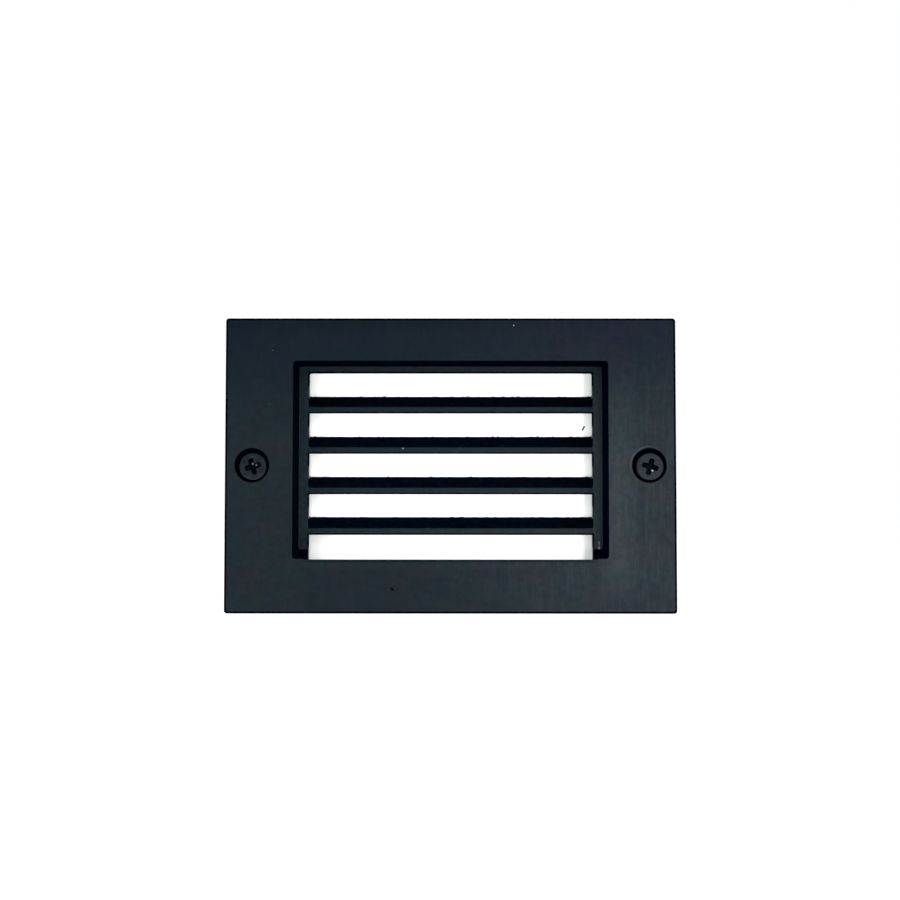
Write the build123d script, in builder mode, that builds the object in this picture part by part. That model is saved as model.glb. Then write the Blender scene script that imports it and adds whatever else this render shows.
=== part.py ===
from build123d import *
import math
import os

os.makedirs("parts", exist_ok=True)

# Recessed louvred step light for 12 V, in millimetres.
# +X is to the right seen from the front, +Z is up, and the front faces -Y.
# The origin is on the box's centre line, in the plane of the flange's face against the wall.

# Louvre across the floor of the recess
opening_width = 76.0
blade_count = 4
blade_pitch = 10.8
blade_edge = 1.75  # height of a blade's front edge
blade_rise = 2.95  # from its front edge to its back edge
first_slot_height = 9.25
lowest_slot_height = 6.05
rail_width = 2.5
top_rail_height = 1.6
grille_thickness = 2.8
slot_corner_radius = 0.5
slot_floor_fall = 0.85  # the lowest slot falls towards the back

# Recess and faceplate, the casting that shows on the wall
recess_depth = 10.0
recess_draft = 2.6  # degrees, sides and top
recess_corner_radius = 0.8
sill_rise = 2.05  # the recess's bottom rises towards the back
lip_drop = 0.15  # the lowest slot breaks out just below the recess
plate_margin_top = 11.1
plate_margin_bottom = 14.12
plate_corner_radius = 0.8
plate_edge_radius = 0.4
plate_skin = 4.5  # thickness in front of the gasket
skirt_wall = 1.8  # rim that hides the flange
skirt_wall_gap = 0.5  # the rim stops short of the wall
plate_shift_x = -0.2  # play taken up in the screw holes
plate_shift_z = 0.3

# Lens and what holds it in the faceplate
lens_lap = 2.3  # glass beyond the openings, each side
lens_thickness = 3.0
lens_corner_radius = 1.5
lens_clearance = 0.3
lens_gasket_thickness = 1.0
tub_side_wall = 4.4  # takes the retainer's screws
tub_end_wall = 2.0
tub_corner_radius = 2.5
retainer_thickness = 1.0
retainer_lap = 1.8  # over the edge of the glass
retainer_inset = 0.6  # inside the casting's edge
retainer_screw_pitch = 22.0
retainer_screw_radius = 1.25
retainer_screw_length = 7.0
retainer_screw_head_radius = 2.1
retainer_screw_head = 1.5

# Faceplate screws and what they thread into
screw_radius = 1.75
screw_length = 9.5  # under the head
screw_head_radius = 3.5
screw_head = 2.1
screw_head_edge = 0.5
screw_head_sink = 0.1  # face below the plate's front
left_screw_turn = 17.0  # angle of the cross recess, degrees
right_screw_turn = -16.0
cross_length = 4.35
cross_width = 1.05
cross_depth = 1.4
cross_taper = 9.0
counterbore_radius = 4.5
screw_hole_radius = 2.4
screw_beside_box = 2.5
screw_to_plate_edge = 7.0
washer_thickness = 0.6
washer_radius = 3.3
thread_clearance = 0.05
press_clearance = 0.03
insert_radius = 2.4
insert_length = 6.5
insert_sink = 0.2  # below the flange's front
insert_band = 1.8
insert_waist = 0.25

# Housing, built into the wall
tub_gap = 1.5  # round the casting's tub
box_wall = 2.5
box_corner_radius = 6.0
box_draft = 0.8
box_floor_radius = 2.0
wiring_space = 16.0  # behind the reflector
flange_thickness = 2.5
flange_clearance = 0.9  # between the flange's edge and the faceplate's rim
flange_corner_radius = 3.0
plate_gasket_thickness = 1.5
gasket_edge_gap = 0.4
ear_radius = 4.2
ear_floor = 4.0
ear_hole_clearance = 0.8
fixing_from_side = 3.8
fixing_from_top = 5.5
fixing_hole_radius = 2.0
fixing_head_radius = 3.5
fixing_countersink = 90.0
pad_height = 1.5  # round the gland's and the block's holes
pad_taper = 5.0

# Small screws, the same shape at each size
pan_taper = 12.0
drive_width = 0.55
drive_depth = 0.7
drive_share = 0.75  # of the head's radius

# Reflector tray and the posts that carry it
reflector_gap = 1.2  # behind the heads of the retainer's screws
reflector_side_gap = 4.3
reflector_end_gap = 3.0
reflector_depth = 20.0
reflector_sheet = 0.8
reflector_flare = 11.0  # degrees
reflector_corner_radius = 5.5
reflector_lip = 2.2
post_radius = 3.5
post_from_side = 9.1
post_from_top = 7.1
post_screw_radius = 1.45
post_screw_length = 7.0
post_screw_head_radius = 2.8
post_screw_head = 1.8

# Lamp holder on its bracket
lamp_in_tray = 8.0  # lamp's axis behind the tray's front
holder_from_side = 10.1
holder_width = 11.0
holder_height = 9.0
holder_base_length = 3.0
holder_base_edge = 2.7  # beyond its screws' centres
holder_edge_radius = 0.8
holder_screw_pitch = 13.6
holder_screw_radius = 1.2
holder_screw_head_radius = 2.2
holder_screw_head = 1.4
holder_nut_flats = 5.0
holder_nut_height = 2.0
screw_end = 0.5  # thread beyond its nut
bracket_sheet = 0.8
bracket_bend_radius = 1.2
bracket_width = 20.0
bracket_foot = 14.0
rivet_radius = 1.2
rivet_head_radius = 2.2
rivet_head = 0.8
rivet_taper = 35.0
rivet_pitch = 11.0
contact_radius = 1.2
contact_recess = 2.2  # below the holder's face
contact_past_pin = 1.5
contact_tail = 3.0

# Bi-pin LED lamp
pin_spacing = 4.0
pin_radius = 0.35
pin_length = 7.5
pin_root = 2.0  # in the lamp's base
pin_clearance = 0.05
lamp_gap = 0.3  # between the lamp's base and the holder
lamp_radius = 6.0
lamp_base_length = 12.0
lamp_base_flat = 1.0  # taken off the front and back of the base's inner end
lamp_collar = 4.0
lamp_cover_wall = 0.8
board_width = 8.0
board_thickness = 1.0
board_end = 1.0
chip_length = 3.5
chip_width = 2.8
chip_height = 0.8
chip_row_gap = 0.6
chip_count = 3
chip_pitch = 5.2

# Leads from the holder to the terminal block
lead_radius = 0.75
lead_bend_radius = 4.0
lead_slack = 2.0
grommet_gap = 0.4  # beside the bracket
grommet_radius = 4.0
grommet_bore_gap = 0.2  # round the two leads
grommet_lip = 1.0
grommet_groove = 0.5

# Terminal block on the housing's floor
terminal_length = 20.0
terminal_width = 18.0
terminal_height = 12.0
terminal_pitch = 10.0
terminal_waist = 5.0
terminal_corner_radius = 1.2
barrel_radius = 2.4
barrel_length = 16.0
barrel_clearance = 0.05
barrel_bore_gap = 0.3  # round the lead
terminal_screw_radius = 1.3
terminal_screw_spacing = 9.0
terminal_screw_sink = 0.8
terminal_screw_hole_gap = 0.4
terminal_fixing_radius = 1.45
terminal_fixing_head_radius = 2.4
terminal_fixing_head = 1.6
terminal_fixing_sink = 1.0
terminal_pad_wall = 3.0

# Cable gland through the housing's back
gland_from_side = 20.5
gland_from_bottom = 14.25
gland_thread_radius = 6.0
gland_hex_flats = 15.0
gland_hex_height = 4.5
gland_pad_radius = 10.0
gland_washer_thickness = 1.2
gland_washer_radius = 7.2
gland_nut_flats = 15.0
gland_nut_height = 3.5
gland_thread_out = 1.0  # thread beyond the nut
gland_stub_length = 7.0
gland_bore_radius = 3.9
cap_gap = 0.6  # between the cap and the hexagon
cap_wall = 1.6
cap_end = 4.0  # thickness of the cap's end
cap_cone = 3.0
cap_cone_taper = 30.0
cap_mouth_radius = 3.4
cap_rib_count = 12
cap_rib_radius = 0.7
cable_radius = 2.5
cable_clearance = 0.1
seal_length = 8.0
seal_proud = 1.5  # of the body's end
seal_clearance = 0.05

# Blanking plug in the housing's underside
plug_x = -20.0
plug_behind_flange = 24.0
plug_thread_radius = 6.0
plug_head_radius = 7.8
plug_head = 1.6
plug_head_chamfer = 0.4
plug_length = 6.5
plug_socket_flats = 6.0
plug_socket_depth = 3.5
plug_pad_radius = 9.5
plug_pad_height = 1.6
plug_ring_radius = 0.7

# Planes and levels that follow from these sizes.
# Depths of the faceplate's side are from its front face, those of the housing's from the wall.
plate_projection = flange_thickness + plate_gasket_thickness + plate_skin
plate_depth = plate_projection - skirt_wall_gap
front = Plane(
    origin=(plate_shift_x, -plate_projection, plate_shift_z),
    x_dir=(1, 0, 0),
    z_dir=(0, -1, 0),
)
wall = Plane.XZ

blades_height = (blade_count - 1) * blade_pitch + blade_edge
opening_height = first_slot_height + blades_height + lowest_slot_height
opening_top = (opening_height + slot_floor_fall) / 2
first_blade_top = opening_top - first_slot_height
lip_bottom = opening_top - opening_height
opening_bottom = lip_bottom - slot_floor_fall
recess_run = recess_depth * math.tan(math.radians(recess_draft))
floor_width = opening_width + 2 * rail_width
floor_top = opening_top + top_rail_height
recess_width = floor_width + 2 * recess_run
recess_top = floor_top + recess_run
recess_bottom = lip_bottom + lip_drop
floor_bottom = recess_bottom + sill_rise
grille_back = recess_depth + grille_thickness

lens_width = opening_width + 2 * lens_lap
lens_height = opening_top - opening_bottom + 2 * lens_lap
pocket_width = lens_width + 2 * lens_clearance
pocket_height = lens_height + 2 * lens_clearance
pocket_corner_radius = lens_corner_radius + lens_clearance
tub_width = pocket_width + 2 * tub_side_wall
tub_height = pocket_height + 2 * tub_end_wall
tub_back = grille_back + lens_gasket_thickness + lens_thickness
retainer_screw_x = pocket_width / 2 + tub_side_wall / 2
retainer_hole_depth = retainer_screw_length - retainer_thickness + ear_hole_clearance

mouth_width = tub_width + 2 * tub_gap
mouth_height = tub_height + 2 * tub_gap
mouth_corner_radius = box_corner_radius - box_wall
box_width = mouth_width + 2 * box_wall
box_height = mouth_height + 2 * box_wall

screw_x = box_width / 2 + screw_beside_box
head_face = plate_projection - screw_head_sink  # in front of the wall's surface
head_seat = head_face - screw_head
counterbore_depth = screw_head_sink + screw_head + washer_thickness
insert_front = flange_thickness - insert_sink
ear_hole_end = max(screw_length - head_seat, insert_length - insert_front) + ear_hole_clearance
ear_length = ear_hole_end + ear_floor

plate_width = 2 * (screw_x + screw_to_plate_edge)
plate_top = recess_top + plate_margin_top
plate_bottom = recess_bottom - plate_margin_bottom
plate_height = plate_top - plate_bottom
plate_centre = (plate_top + plate_bottom) / 2
flange_width = plate_width - 2 * skirt_wall - 2 * flange_clearance
flange_height = plate_height - 2 * skirt_wall - 2 * flange_clearance
fixing_spacing_x = flange_width - 2 * fixing_from_side
fixing_spacing_z = flange_height - 2 * fixing_from_top

retainer_heads = tub_back + retainer_thickness + retainer_screw_head - plate_projection
reflector_front = retainer_heads + reflector_gap
reflector_back = reflector_front + reflector_depth
reflector_run = reflector_depth * math.tan(math.radians(reflector_flare))
reflector_width = mouth_width - 2 * (reflector_lip + reflector_side_gap)
reflector_height = mouth_height - 2 * (reflector_lip + reflector_end_gap)
box_inner_depth = reflector_back + wiring_space
box_depth = box_inner_depth + box_wall
post_x = reflector_width / 2 - reflector_run - post_from_side
post_z = reflector_height / 2 - reflector_run - post_from_top
lamp_y = reflector_front + lamp_in_tray

contact_length = pin_length - lamp_gap - contact_recess + contact_past_pin
holder_length = contact_recess + contact_length + contact_tail
holder_base_height = holder_screw_pitch + 2 * holder_base_edge
holder_left = holder_from_side + reflector_run - reflector_width / 2
holder_right = holder_left + holder_length
contact_right = holder_right - contact_recess
contact_left = contact_right - contact_length
bracket_front = lamp_y - holder_width / 2
bracket_floor = reflector_back - reflector_sheet
rivet_x = holder_left + bracket_foot / 2
lead_x = holder_left - bracket_sheet - grommet_gap - grommet_radius
grommet_bore_radius = pin_spacing / 2 + lead_radius + grommet_bore_gap
grommet_groove_radius = grommet_radius - grommet_groove

lamp_left = holder_right + lamp_gap
cover_left = lamp_left + lamp_base_length
board_left = cover_left - lamp_collar
board_length = lamp_collar + chip_count * chip_pitch + board_end
lamp_cover_length = board_length - lamp_collar + lamp_radius

terminal_y = box_inner_depth - terminal_height / 2
terminal_front = box_inner_depth - terminal_height

gland_x = mouth_width / 2 - gland_from_side
gland_z = gland_from_bottom - mouth_height / 2
gland = Plane(origin=(gland_x, 0, gland_z), x_dir=(1, 0, 0), z_dir=(0, 1, 0))
gland_seat = box_depth + pad_height
gland_inner = box_inner_depth - gland_nut_height - gland_thread_out
hex_front = gland_seat + gland_washer_thickness
stub_front = hex_front + gland_hex_height
stub_end = stub_front + gland_stub_length
seal_end = stub_end + seal_proud
cap_front = stub_front + cap_gap
cap_inner_end = seal_end + seal_clearance
cap_outer_end = cap_inner_end + cap_end
cap_bore_radius = gland_thread_radius + press_clearance
cap_radius = cap_bore_radius + cap_wall

plug_y = plug_behind_flange
plug = Plane(origin=(plug_x, plug_y, 0), x_dir=(1, 0, 0), z_dir=(0, 0, -1))
plug_seat = box_height / 2 + plug_pad_height
plug_head_front = plug_seat + 2 * plug_ring_radius

# The casting: plate with its rim, recess, louvre and the tub that holds the lens
with BuildPart() as faceplate:
    with BuildSketch(front):
        with Locations((0, plate_centre)):
            RectangleRounded(plate_width, plate_height, plate_corner_radius)
    extrude(amount=-plate_depth)
    fillet(faceplate.faces().sort_by(Axis.Y)[0].edges(), plate_edge_radius)
    with BuildSketch(front.offset(-plate_skin)):
        with Locations((0, plate_centre)):
            Rectangle(plate_width - 2 * skirt_wall, plate_height - 2 * skirt_wall)
    extrude(amount=plate_skin - plate_depth, mode=Mode.SUBTRACT)
    with BuildSketch(front.offset(-plate_skin)):
        RectangleRounded(tub_width, tub_height, tub_corner_radius)
    extrude(amount=plate_skin - tub_back)
    # drafted recess with its rising sill
    with BuildSketch(front):
        with Locations((0, (recess_top + recess_bottom) / 2)):
            RectangleRounded(recess_width, recess_top - recess_bottom, recess_corner_radius)
    with BuildSketch(front.offset(-recess_depth)):
        with Locations((0, (floor_top + floor_bottom) / 2)):
            RectangleRounded(floor_width, floor_top - floor_bottom, recess_corner_radius)
    loft(mode=Mode.SUBTRACT)
    # pocket for the lens and its gasket
    with BuildSketch(front.offset(-grille_back)):
        RectangleRounded(pocket_width, pocket_height, pocket_corner_radius)
    extrude(amount=grille_back - tub_back, mode=Mode.SUBTRACT)
    # slots between the blades: each front outline is lofted up to its back outline,
    # and only the first one's top edge stays level
    for slot in range(blade_count + 1):
        next_blade_top = first_blade_top - slot * blade_pitch
        slot_bottom = max(next_blade_top, floor_bottom)
        slot_top = next_blade_top + blade_pitch - blade_edge if slot > 0 else opening_top
        back_top = slot_top + min(slot, 1) * blade_rise
        back_bottom = slot_bottom + (blade_rise if slot < blade_count else 0)
        with BuildSketch(front.offset(-recess_depth)):
            with Locations((0, (slot_top + slot_bottom) / 2)):
                RectangleRounded(opening_width, slot_top - slot_bottom, slot_corner_radius)
        with BuildSketch(front.offset(-grille_back)):
            with Locations((0, (back_top + back_bottom) / 2)):
                RectangleRounded(opening_width, back_top - back_bottom, slot_corner_radius)
        loft(mode=Mode.SUBTRACT)
    # the lowest slot's floor runs straight out over the recess's bottom edge
    with BuildSketch(Plane(origin=front.origin, x_dir=(0, 1, 0), z_dir=(1, 0, 0))):
        with BuildLine():
            Polyline(
                (0, lip_bottom),
                (0, floor_bottom + slot_corner_radius),
                (grille_back, floor_bottom + slot_corner_radius),
                (grille_back, opening_bottom),
                close=True,
            )
        make_face()
    extrude(amount=opening_width / 2, both=True, mode=Mode.SUBTRACT)
    # counterbored screw holes
    with Locations(front):
        with Locations((-screw_x, 0), (screw_x, 0)):
            CounterBoreHole(screw_hole_radius, counterbore_radius, counterbore_depth, plate_skin)
    # blind holes for the retainer's screws
    with BuildSketch(front.offset(-tub_back)):
        with GridLocations(2 * retainer_screw_x, retainer_screw_pitch, 2, 3):
            Circle(retainer_screw_radius + press_clearance)
    extrude(amount=retainer_hole_depth, mode=Mode.SUBTRACT)
faceplate.part.label = "faceplate"
export_step(faceplate.part, "parts/faceplate.step")

with BuildPart() as lens_gasket:
    with BuildSketch(front.offset(-grille_back)):
        RectangleRounded(lens_width, lens_height, lens_corner_radius)
        RectangleRounded(
            lens_width - 2 * retainer_lap,
            lens_height - 2 * retainer_lap,
            lens_corner_radius,
            mode=Mode.SUBTRACT,
        )
    extrude(amount=-lens_gasket_thickness)
lens_gasket.part.label = "lens_gasket"
export_step(lens_gasket.part, "parts/lens_gasket.step")

with BuildPart() as lens:
    with BuildSketch(front.offset(-grille_back - lens_gasket_thickness)):
        RectangleRounded(lens_width, lens_height, lens_corner_radius)
    extrude(amount=-lens_thickness)
lens.part.label = "lens"
export_step(lens.part, "parts/lens.step")

with BuildPart() as lens_retainer:
    with BuildSketch(front.offset(-tub_back)):
        RectangleRounded(
            tub_width - 2 * retainer_inset,
            tub_height - 2 * retainer_inset,
            tub_corner_radius - retainer_inset,
        )
        RectangleRounded(
            lens_width - 2 * retainer_lap,
            lens_height - 2 * retainer_lap,
            lens_corner_radius,
            mode=Mode.SUBTRACT,
        )
        with GridLocations(2 * retainer_screw_x, retainer_screw_pitch, 2, 3):
            Circle(retainer_screw_radius + press_clearance, mode=Mode.SUBTRACT)
    extrude(amount=-retainer_thickness)
lens_retainer.part.label = "lens_retainer"
export_step(lens_retainer.part, "parts/lens_retainer.step")

with BuildPart() as lens_retainer_screws:
    seat = front.offset(-tub_back - retainer_thickness)
    with BuildSketch(seat):
        with GridLocations(2 * retainer_screw_x, retainer_screw_pitch, 2, 3):
            Circle(retainer_screw_head_radius)
    extrude(amount=-retainer_screw_head, taper=pan_taper)
    with BuildSketch(seat):
        with GridLocations(2 * retainer_screw_x, retainer_screw_pitch, 2, 3):
            Circle(retainer_screw_radius)
    extrude(amount=retainer_screw_length)
    with BuildSketch(seat.offset(-retainer_screw_head)):
        with GridLocations(2 * retainer_screw_x, retainer_screw_pitch, 2, 3):
            Rectangle(2 * drive_share * retainer_screw_head_radius, drive_width)
            Rectangle(drive_width, 2 * drive_share * retainer_screw_head_radius)
    extrude(amount=drive_depth, mode=Mode.SUBTRACT)
lens_retainer_screws.part.label = "lens_retainer_screws"
export_step(lens_retainer_screws.part, "parts/lens_retainer_screws.step")

with BuildPart() as faceplate_gasket:
    with BuildSketch(wall.offset(flange_thickness)):
        with Locations((0, plate_centre)):
            RectangleRounded(
                flange_width - 2 * gasket_edge_gap,
                flange_height - 2 * gasket_edge_gap,
                flange_corner_radius,
            )
        RectangleRounded(mouth_width, mouth_height, mouth_corner_radius, mode=Mode.SUBTRACT)
        with Locations((-screw_x, 0), (screw_x, 0)):
            Circle(screw_hole_radius, mode=Mode.SUBTRACT)
    extrude(amount=plate_gasket_thickness)
faceplate_gasket.part.label = "faceplate_gasket"
export_step(faceplate_gasket.part, "parts/faceplate_gasket.step")

# Faceplate screws: flat-faced pan head with a cross recess, plain shank at the thread's size
screw_outline = [
    (0, -head_face),
    (screw_head_radius - screw_head_edge, -head_face),
    (screw_head_radius, screw_head_edge - head_face),
    (screw_head_radius, -head_seat),
    (screw_radius, -head_seat),
    (screw_radius, screw_length - head_seat - screw_end),
    (screw_radius - screw_end, screw_length - head_seat),
    (0, screw_length - head_seat),
]

with BuildPart() as left_screw:
    with BuildSketch(Plane.XY.shift_origin((-screw_x, 0, 0))):
        with BuildLine():
            Polyline(*screw_outline, close=True)
        make_face()
    revolve(axis=Axis((-screw_x, 0, 0), (0, 1, 0)))
    with BuildSketch(wall.offset(head_face)):
        with Locations(Location((-screw_x, 0), left_screw_turn)):
            Rectangle(cross_length, cross_width)
            Rectangle(cross_width, cross_length)
    extrude(amount=-cross_depth, taper=cross_taper, mode=Mode.SUBTRACT)
left_screw.part.label = "left_screw"
export_step(left_screw.part, "parts/left_screw.step")

with BuildPart() as right_screw:
    with BuildSketch(Plane.XY.shift_origin((screw_x, 0, 0))):
        with BuildLine():
            Polyline(*screw_outline, close=True)
        make_face()
    revolve(axis=Axis((screw_x, 0, 0), (0, 1, 0)))
    with BuildSketch(wall.offset(head_face)):
        with Locations(Location((screw_x, 0), right_screw_turn)):
            Rectangle(cross_length, cross_width)
            Rectangle(cross_width, cross_length)
    extrude(amount=-cross_depth, taper=cross_taper, mode=Mode.SUBTRACT)
right_screw.part.label = "right_screw"
export_step(right_screw.part, "parts/right_screw.step")

with BuildPart() as left_screw_washer:
    with BuildSketch(wall.offset(head_seat)):
        with Locations((-screw_x, 0)):
            Circle(washer_radius)
            Circle(screw_radius + thread_clearance, mode=Mode.SUBTRACT)
    extrude(amount=-washer_thickness)
left_screw_washer.part.label = "left_screw_washer"
export_step(left_screw_washer.part, "parts/left_screw_washer.step")

with BuildPart() as right_screw_washer:
    with BuildSketch(wall.offset(head_seat)):
        with Locations((screw_x, 0)):
            Circle(washer_radius)
            Circle(screw_radius + thread_clearance, mode=Mode.SUBTRACT)
    extrude(amount=-washer_thickness)
right_screw_washer.part.label = "right_screw_washer"
export_step(right_screw_washer.part, "parts/right_screw_washer.step")

with BuildPart() as screw_inserts:
    with BuildSketch(wall.offset(insert_front)):
        with Locations((-screw_x, 0), (screw_x, 0)):
            Circle(insert_radius)
    extrude(amount=-insert_length)
    # waist between the two knurled bands
    with BuildSketch(wall.offset(insert_front - insert_band)):
        with Locations((-screw_x, 0), (screw_x, 0)):
            Circle(insert_radius)
            Circle(insert_radius - insert_waist, mode=Mode.SUBTRACT)
    extrude(amount=2 * insert_band - insert_length, mode=Mode.SUBTRACT)
    with BuildSketch(wall.offset(insert_front)):
        with Locations((-screw_x, 0), (screw_x, 0)):
            Circle(screw_radius + thread_clearance)
    extrude(amount=-insert_length, mode=Mode.SUBTRACT)
screw_inserts.part.label = "screw_inserts"
export_step(screw_inserts.part, "parts/screw_inserts.step")

# Housing: drafted box with a flange, screw ears, reflector posts and two cable entries
with BuildPart() as housing:
    with BuildSketch(wall):
        RectangleRounded(box_width, box_height, box_corner_radius)
    extrude(amount=-box_depth, taper=box_draft)
    fillet(housing.faces().sort_by(Axis.Y)[-1].edges(), box_wall)
    with BuildSketch(wall):
        with Locations((0, plate_centre)):
            RectangleRounded(flange_width, flange_height, flange_corner_radius)
    extrude(amount=flange_thickness)
    # ears for the faceplate's screws, webbed to the box's sides
    with BuildSketch(wall):
        with Locations((-screw_x, 0), (screw_x, 0)):
            Circle(ear_radius)
        with Locations((-box_width / 2, 0), (box_width / 2, 0)):
            Rectangle(2 * screw_beside_box, 2 * ear_radius)
    extrude(amount=-ear_length)
    # pads round the holes of the gland, the terminal block's screw and the plug
    with BuildSketch(wall.offset(-box_depth)):
        with Locations((gland_x, gland_z)):
            Circle(gland_pad_radius)
        Circle(terminal_fixing_radius + terminal_pad_wall)
    extrude(amount=-pad_height, taper=pad_taper)
    with BuildSketch(plug.offset(plug_seat)):
        Circle(plug_pad_radius)
    extrude(amount=-plug_pad_height - box_wall / 2)
    # the inside
    with BuildSketch(wall.offset(flange_thickness)):
        RectangleRounded(mouth_width, mouth_height, mouth_corner_radius)
    extrude(amount=-flange_thickness - box_inner_depth, taper=box_draft, mode=Mode.SUBTRACT)
    box_floor = housing.faces().filter_by(Axis.Y).filter_by_position(
        Axis.Y, box_inner_depth - press_clearance, box_inner_depth + press_clearance
    )
    fillet(box_floor.edges(), box_floor_radius)
    # posts that carry the reflector
    with BuildSketch(wall.offset(-box_inner_depth)):
        with Locations((-post_x, post_z), (post_x, post_z)):
            Circle(post_radius)
    extrude(amount=wiring_space)
    with BuildSketch(wall.offset(-reflector_back)):
        with Locations((-post_x, post_z), (post_x, post_z)):
            Circle(post_screw_radius + press_clearance)
    extrude(amount=-post_screw_length, mode=Mode.SUBTRACT)
    # the block's blind screw hole, then the holes of the gland and the plug
    with BuildSketch(wall.offset(-box_inner_depth)):
        Circle(terminal_fixing_radius + press_clearance)
    extrude(amount=-box_wall, mode=Mode.SUBTRACT)
    with BuildSketch(wall.offset(-gland_seat)):
        with Locations((gland_x, gland_z)):
            Circle(gland_thread_radius + press_clearance)
    extrude(amount=pad_height + box_wall, mode=Mode.SUBTRACT)
    with BuildSketch(plug.offset(plug_seat)):
        Circle(plug_thread_radius + press_clearance)
    extrude(amount=-plug_pad_height - 2 * box_wall, mode=Mode.SUBTRACT)
    # seats of the brass inserts, drilled on past the ends of the screws
    with BuildSketch(wall.offset(flange_thickness)):
        with Locations((-screw_x, 0), (screw_x, 0)):
            Circle(insert_radius + press_clearance)
    extrude(amount=-flange_thickness - ear_hole_end, mode=Mode.SUBTRACT)
    # countersunk fixing holes in the flange's corners
    with Locations(wall.offset(flange_thickness)):
        with GridLocations(fixing_spacing_x, fixing_spacing_z, 2, 2):
            CounterSinkHole(
                fixing_hole_radius, fixing_head_radius, flange_thickness, fixing_countersink
            )
housing.part.label = "housing"
export_step(housing.part, "parts/housing.step")

# Reflector: white pressed tray, flared towards the lens, with an out-turned lip
with BuildPart() as reflector:
    with BuildSketch(wall.offset(-reflector_front)):
        RectangleRounded(reflector_width, reflector_height, reflector_corner_radius)
    extrude(amount=-reflector_depth, taper=reflector_flare)
    with BuildSketch(wall.offset(-reflector_front)):
        RectangleRounded(
            reflector_width + 2 * reflector_lip,
            reflector_height + 2 * reflector_lip,
            reflector_corner_radius + reflector_lip,
        )
    extrude(amount=-reflector_sheet)
    with BuildSketch(wall.offset(-reflector_front)):
        RectangleRounded(
            reflector_width - 2 * reflector_sheet,
            reflector_height - 2 * reflector_sheet,
            reflector_corner_radius - reflector_sheet,
        )
    extrude(amount=reflector_sheet - reflector_depth, taper=reflector_flare, mode=Mode.SUBTRACT)
    with BuildSketch(wall.offset(-reflector_back)):
        with Locations((-post_x, post_z), (post_x, post_z)):
            Circle(post_screw_radius + press_clearance)
        with Locations((lead_x, 0)):
            Circle(grommet_groove_radius)
        with Locations((rivet_x, 0)):
            with GridLocations(0, rivet_pitch, 1, 2):
                Circle(rivet_radius + press_clearance)
    extrude(amount=reflector_sheet, mode=Mode.SUBTRACT)
reflector.part.label = "reflector"
export_step(reflector.part, "parts/reflector.step")

with BuildPart() as reflector_screws:
    seat = wall.offset(reflector_sheet - reflector_back)
    with BuildSketch(seat):
        with Locations((-post_x, post_z), (post_x, post_z)):
            Circle(post_screw_head_radius)
    extrude(amount=post_screw_head, taper=pan_taper)
    with BuildSketch(seat):
        with Locations((-post_x, post_z), (post_x, post_z)):
            Circle(post_screw_radius)
    extrude(amount=-post_screw_length)
    with BuildSketch(seat.offset(post_screw_head)):
        with Locations((-post_x, post_z), (post_x, post_z)):
            Rectangle(2 * drive_share * post_screw_head_radius, drive_width)
            Rectangle(drive_width, 2 * drive_share * post_screw_head_radius)
    extrude(amount=-drive_depth, mode=Mode.SUBTRACT)
reflector_screws.part.label = "reflector_screws"
export_step(reflector_screws.part, "parts/reflector_screws.step")

# Bracket: bent sheet with its foot on the tray and its upright behind the holder
with BuildPart() as holder_bracket:
    with BuildSketch(Plane.XY.offset(-bracket_width / 2)):
        with BuildLine():
            Polyline(
                (holder_left - bracket_sheet, bracket_front),
                (holder_left - bracket_sheet, bracket_floor),
                (holder_left + bracket_foot, bracket_floor),
                (holder_left + bracket_foot, bracket_floor - bracket_sheet),
                (holder_left, bracket_floor - bracket_sheet),
                (holder_left, bracket_front),
                close=True,
            )
        make_face()
    extrude(amount=bracket_width)
    upright_edges = holder_bracket.edges().filter_by(Axis.Z).group_by(Axis.X)
    fillet(upright_edges[0].sort_by(Axis.Y)[-1], bracket_bend_radius)
    upright_edges = holder_bracket.edges().filter_by(Axis.Z).filter_by_position(
        Axis.X, holder_left - press_clearance, holder_left + press_clearance
    )
    fillet(upright_edges.sort_by(Axis.Y)[-1], bracket_bend_radius - bracket_sheet)
    with BuildSketch(Plane.YZ.offset(holder_left)):
        with Locations((lamp_y, 0)):
            SlotCenterToCenter(pin_spacing, 4 * lead_radius, rotation=90)
            with GridLocations(0, holder_screw_pitch, 1, 2):
                Circle(holder_screw_radius + press_clearance)
    extrude(amount=-bracket_sheet, mode=Mode.SUBTRACT)
    with BuildSketch(wall.offset(-bracket_floor)):
        with Locations((rivet_x, 0)):
            with GridLocations(0, rivet_pitch, 1, 2):
                Circle(rivet_radius + press_clearance)
    extrude(amount=bracket_sheet, mode=Mode.SUBTRACT)
holder_bracket.part.label = "holder_bracket"
export_step(holder_bracket.part, "parts/holder_bracket.step")

with BuildPart() as bracket_rivets:
    with BuildSketch(wall.offset(bracket_sheet - bracket_floor)):
        with Locations((rivet_x, 0)):
            with GridLocations(0, rivet_pitch, 1, 2):
                Circle(rivet_head_radius)
    extrude(amount=rivet_head, taper=rivet_taper)
    with BuildSketch(wall.offset(bracket_sheet - bracket_floor)):
        with Locations((rivet_x, 0)):
            with GridLocations(0, rivet_pitch, 1, 2):
                Circle(rivet_radius)
    extrude(amount=-bracket_sheet - reflector_sheet)
    with BuildSketch(wall.offset(-reflector_back)):
        with Locations((rivet_x, 0)):
            with GridLocations(0, rivet_pitch, 1, 2):
                Circle(rivet_head_radius)
    extrude(amount=-rivet_head, taper=rivet_taper)
bracket_rivets.part.label = "bracket_rivets"
export_step(bracket_rivets.part, "parts/bracket_rivets.step")

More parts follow.
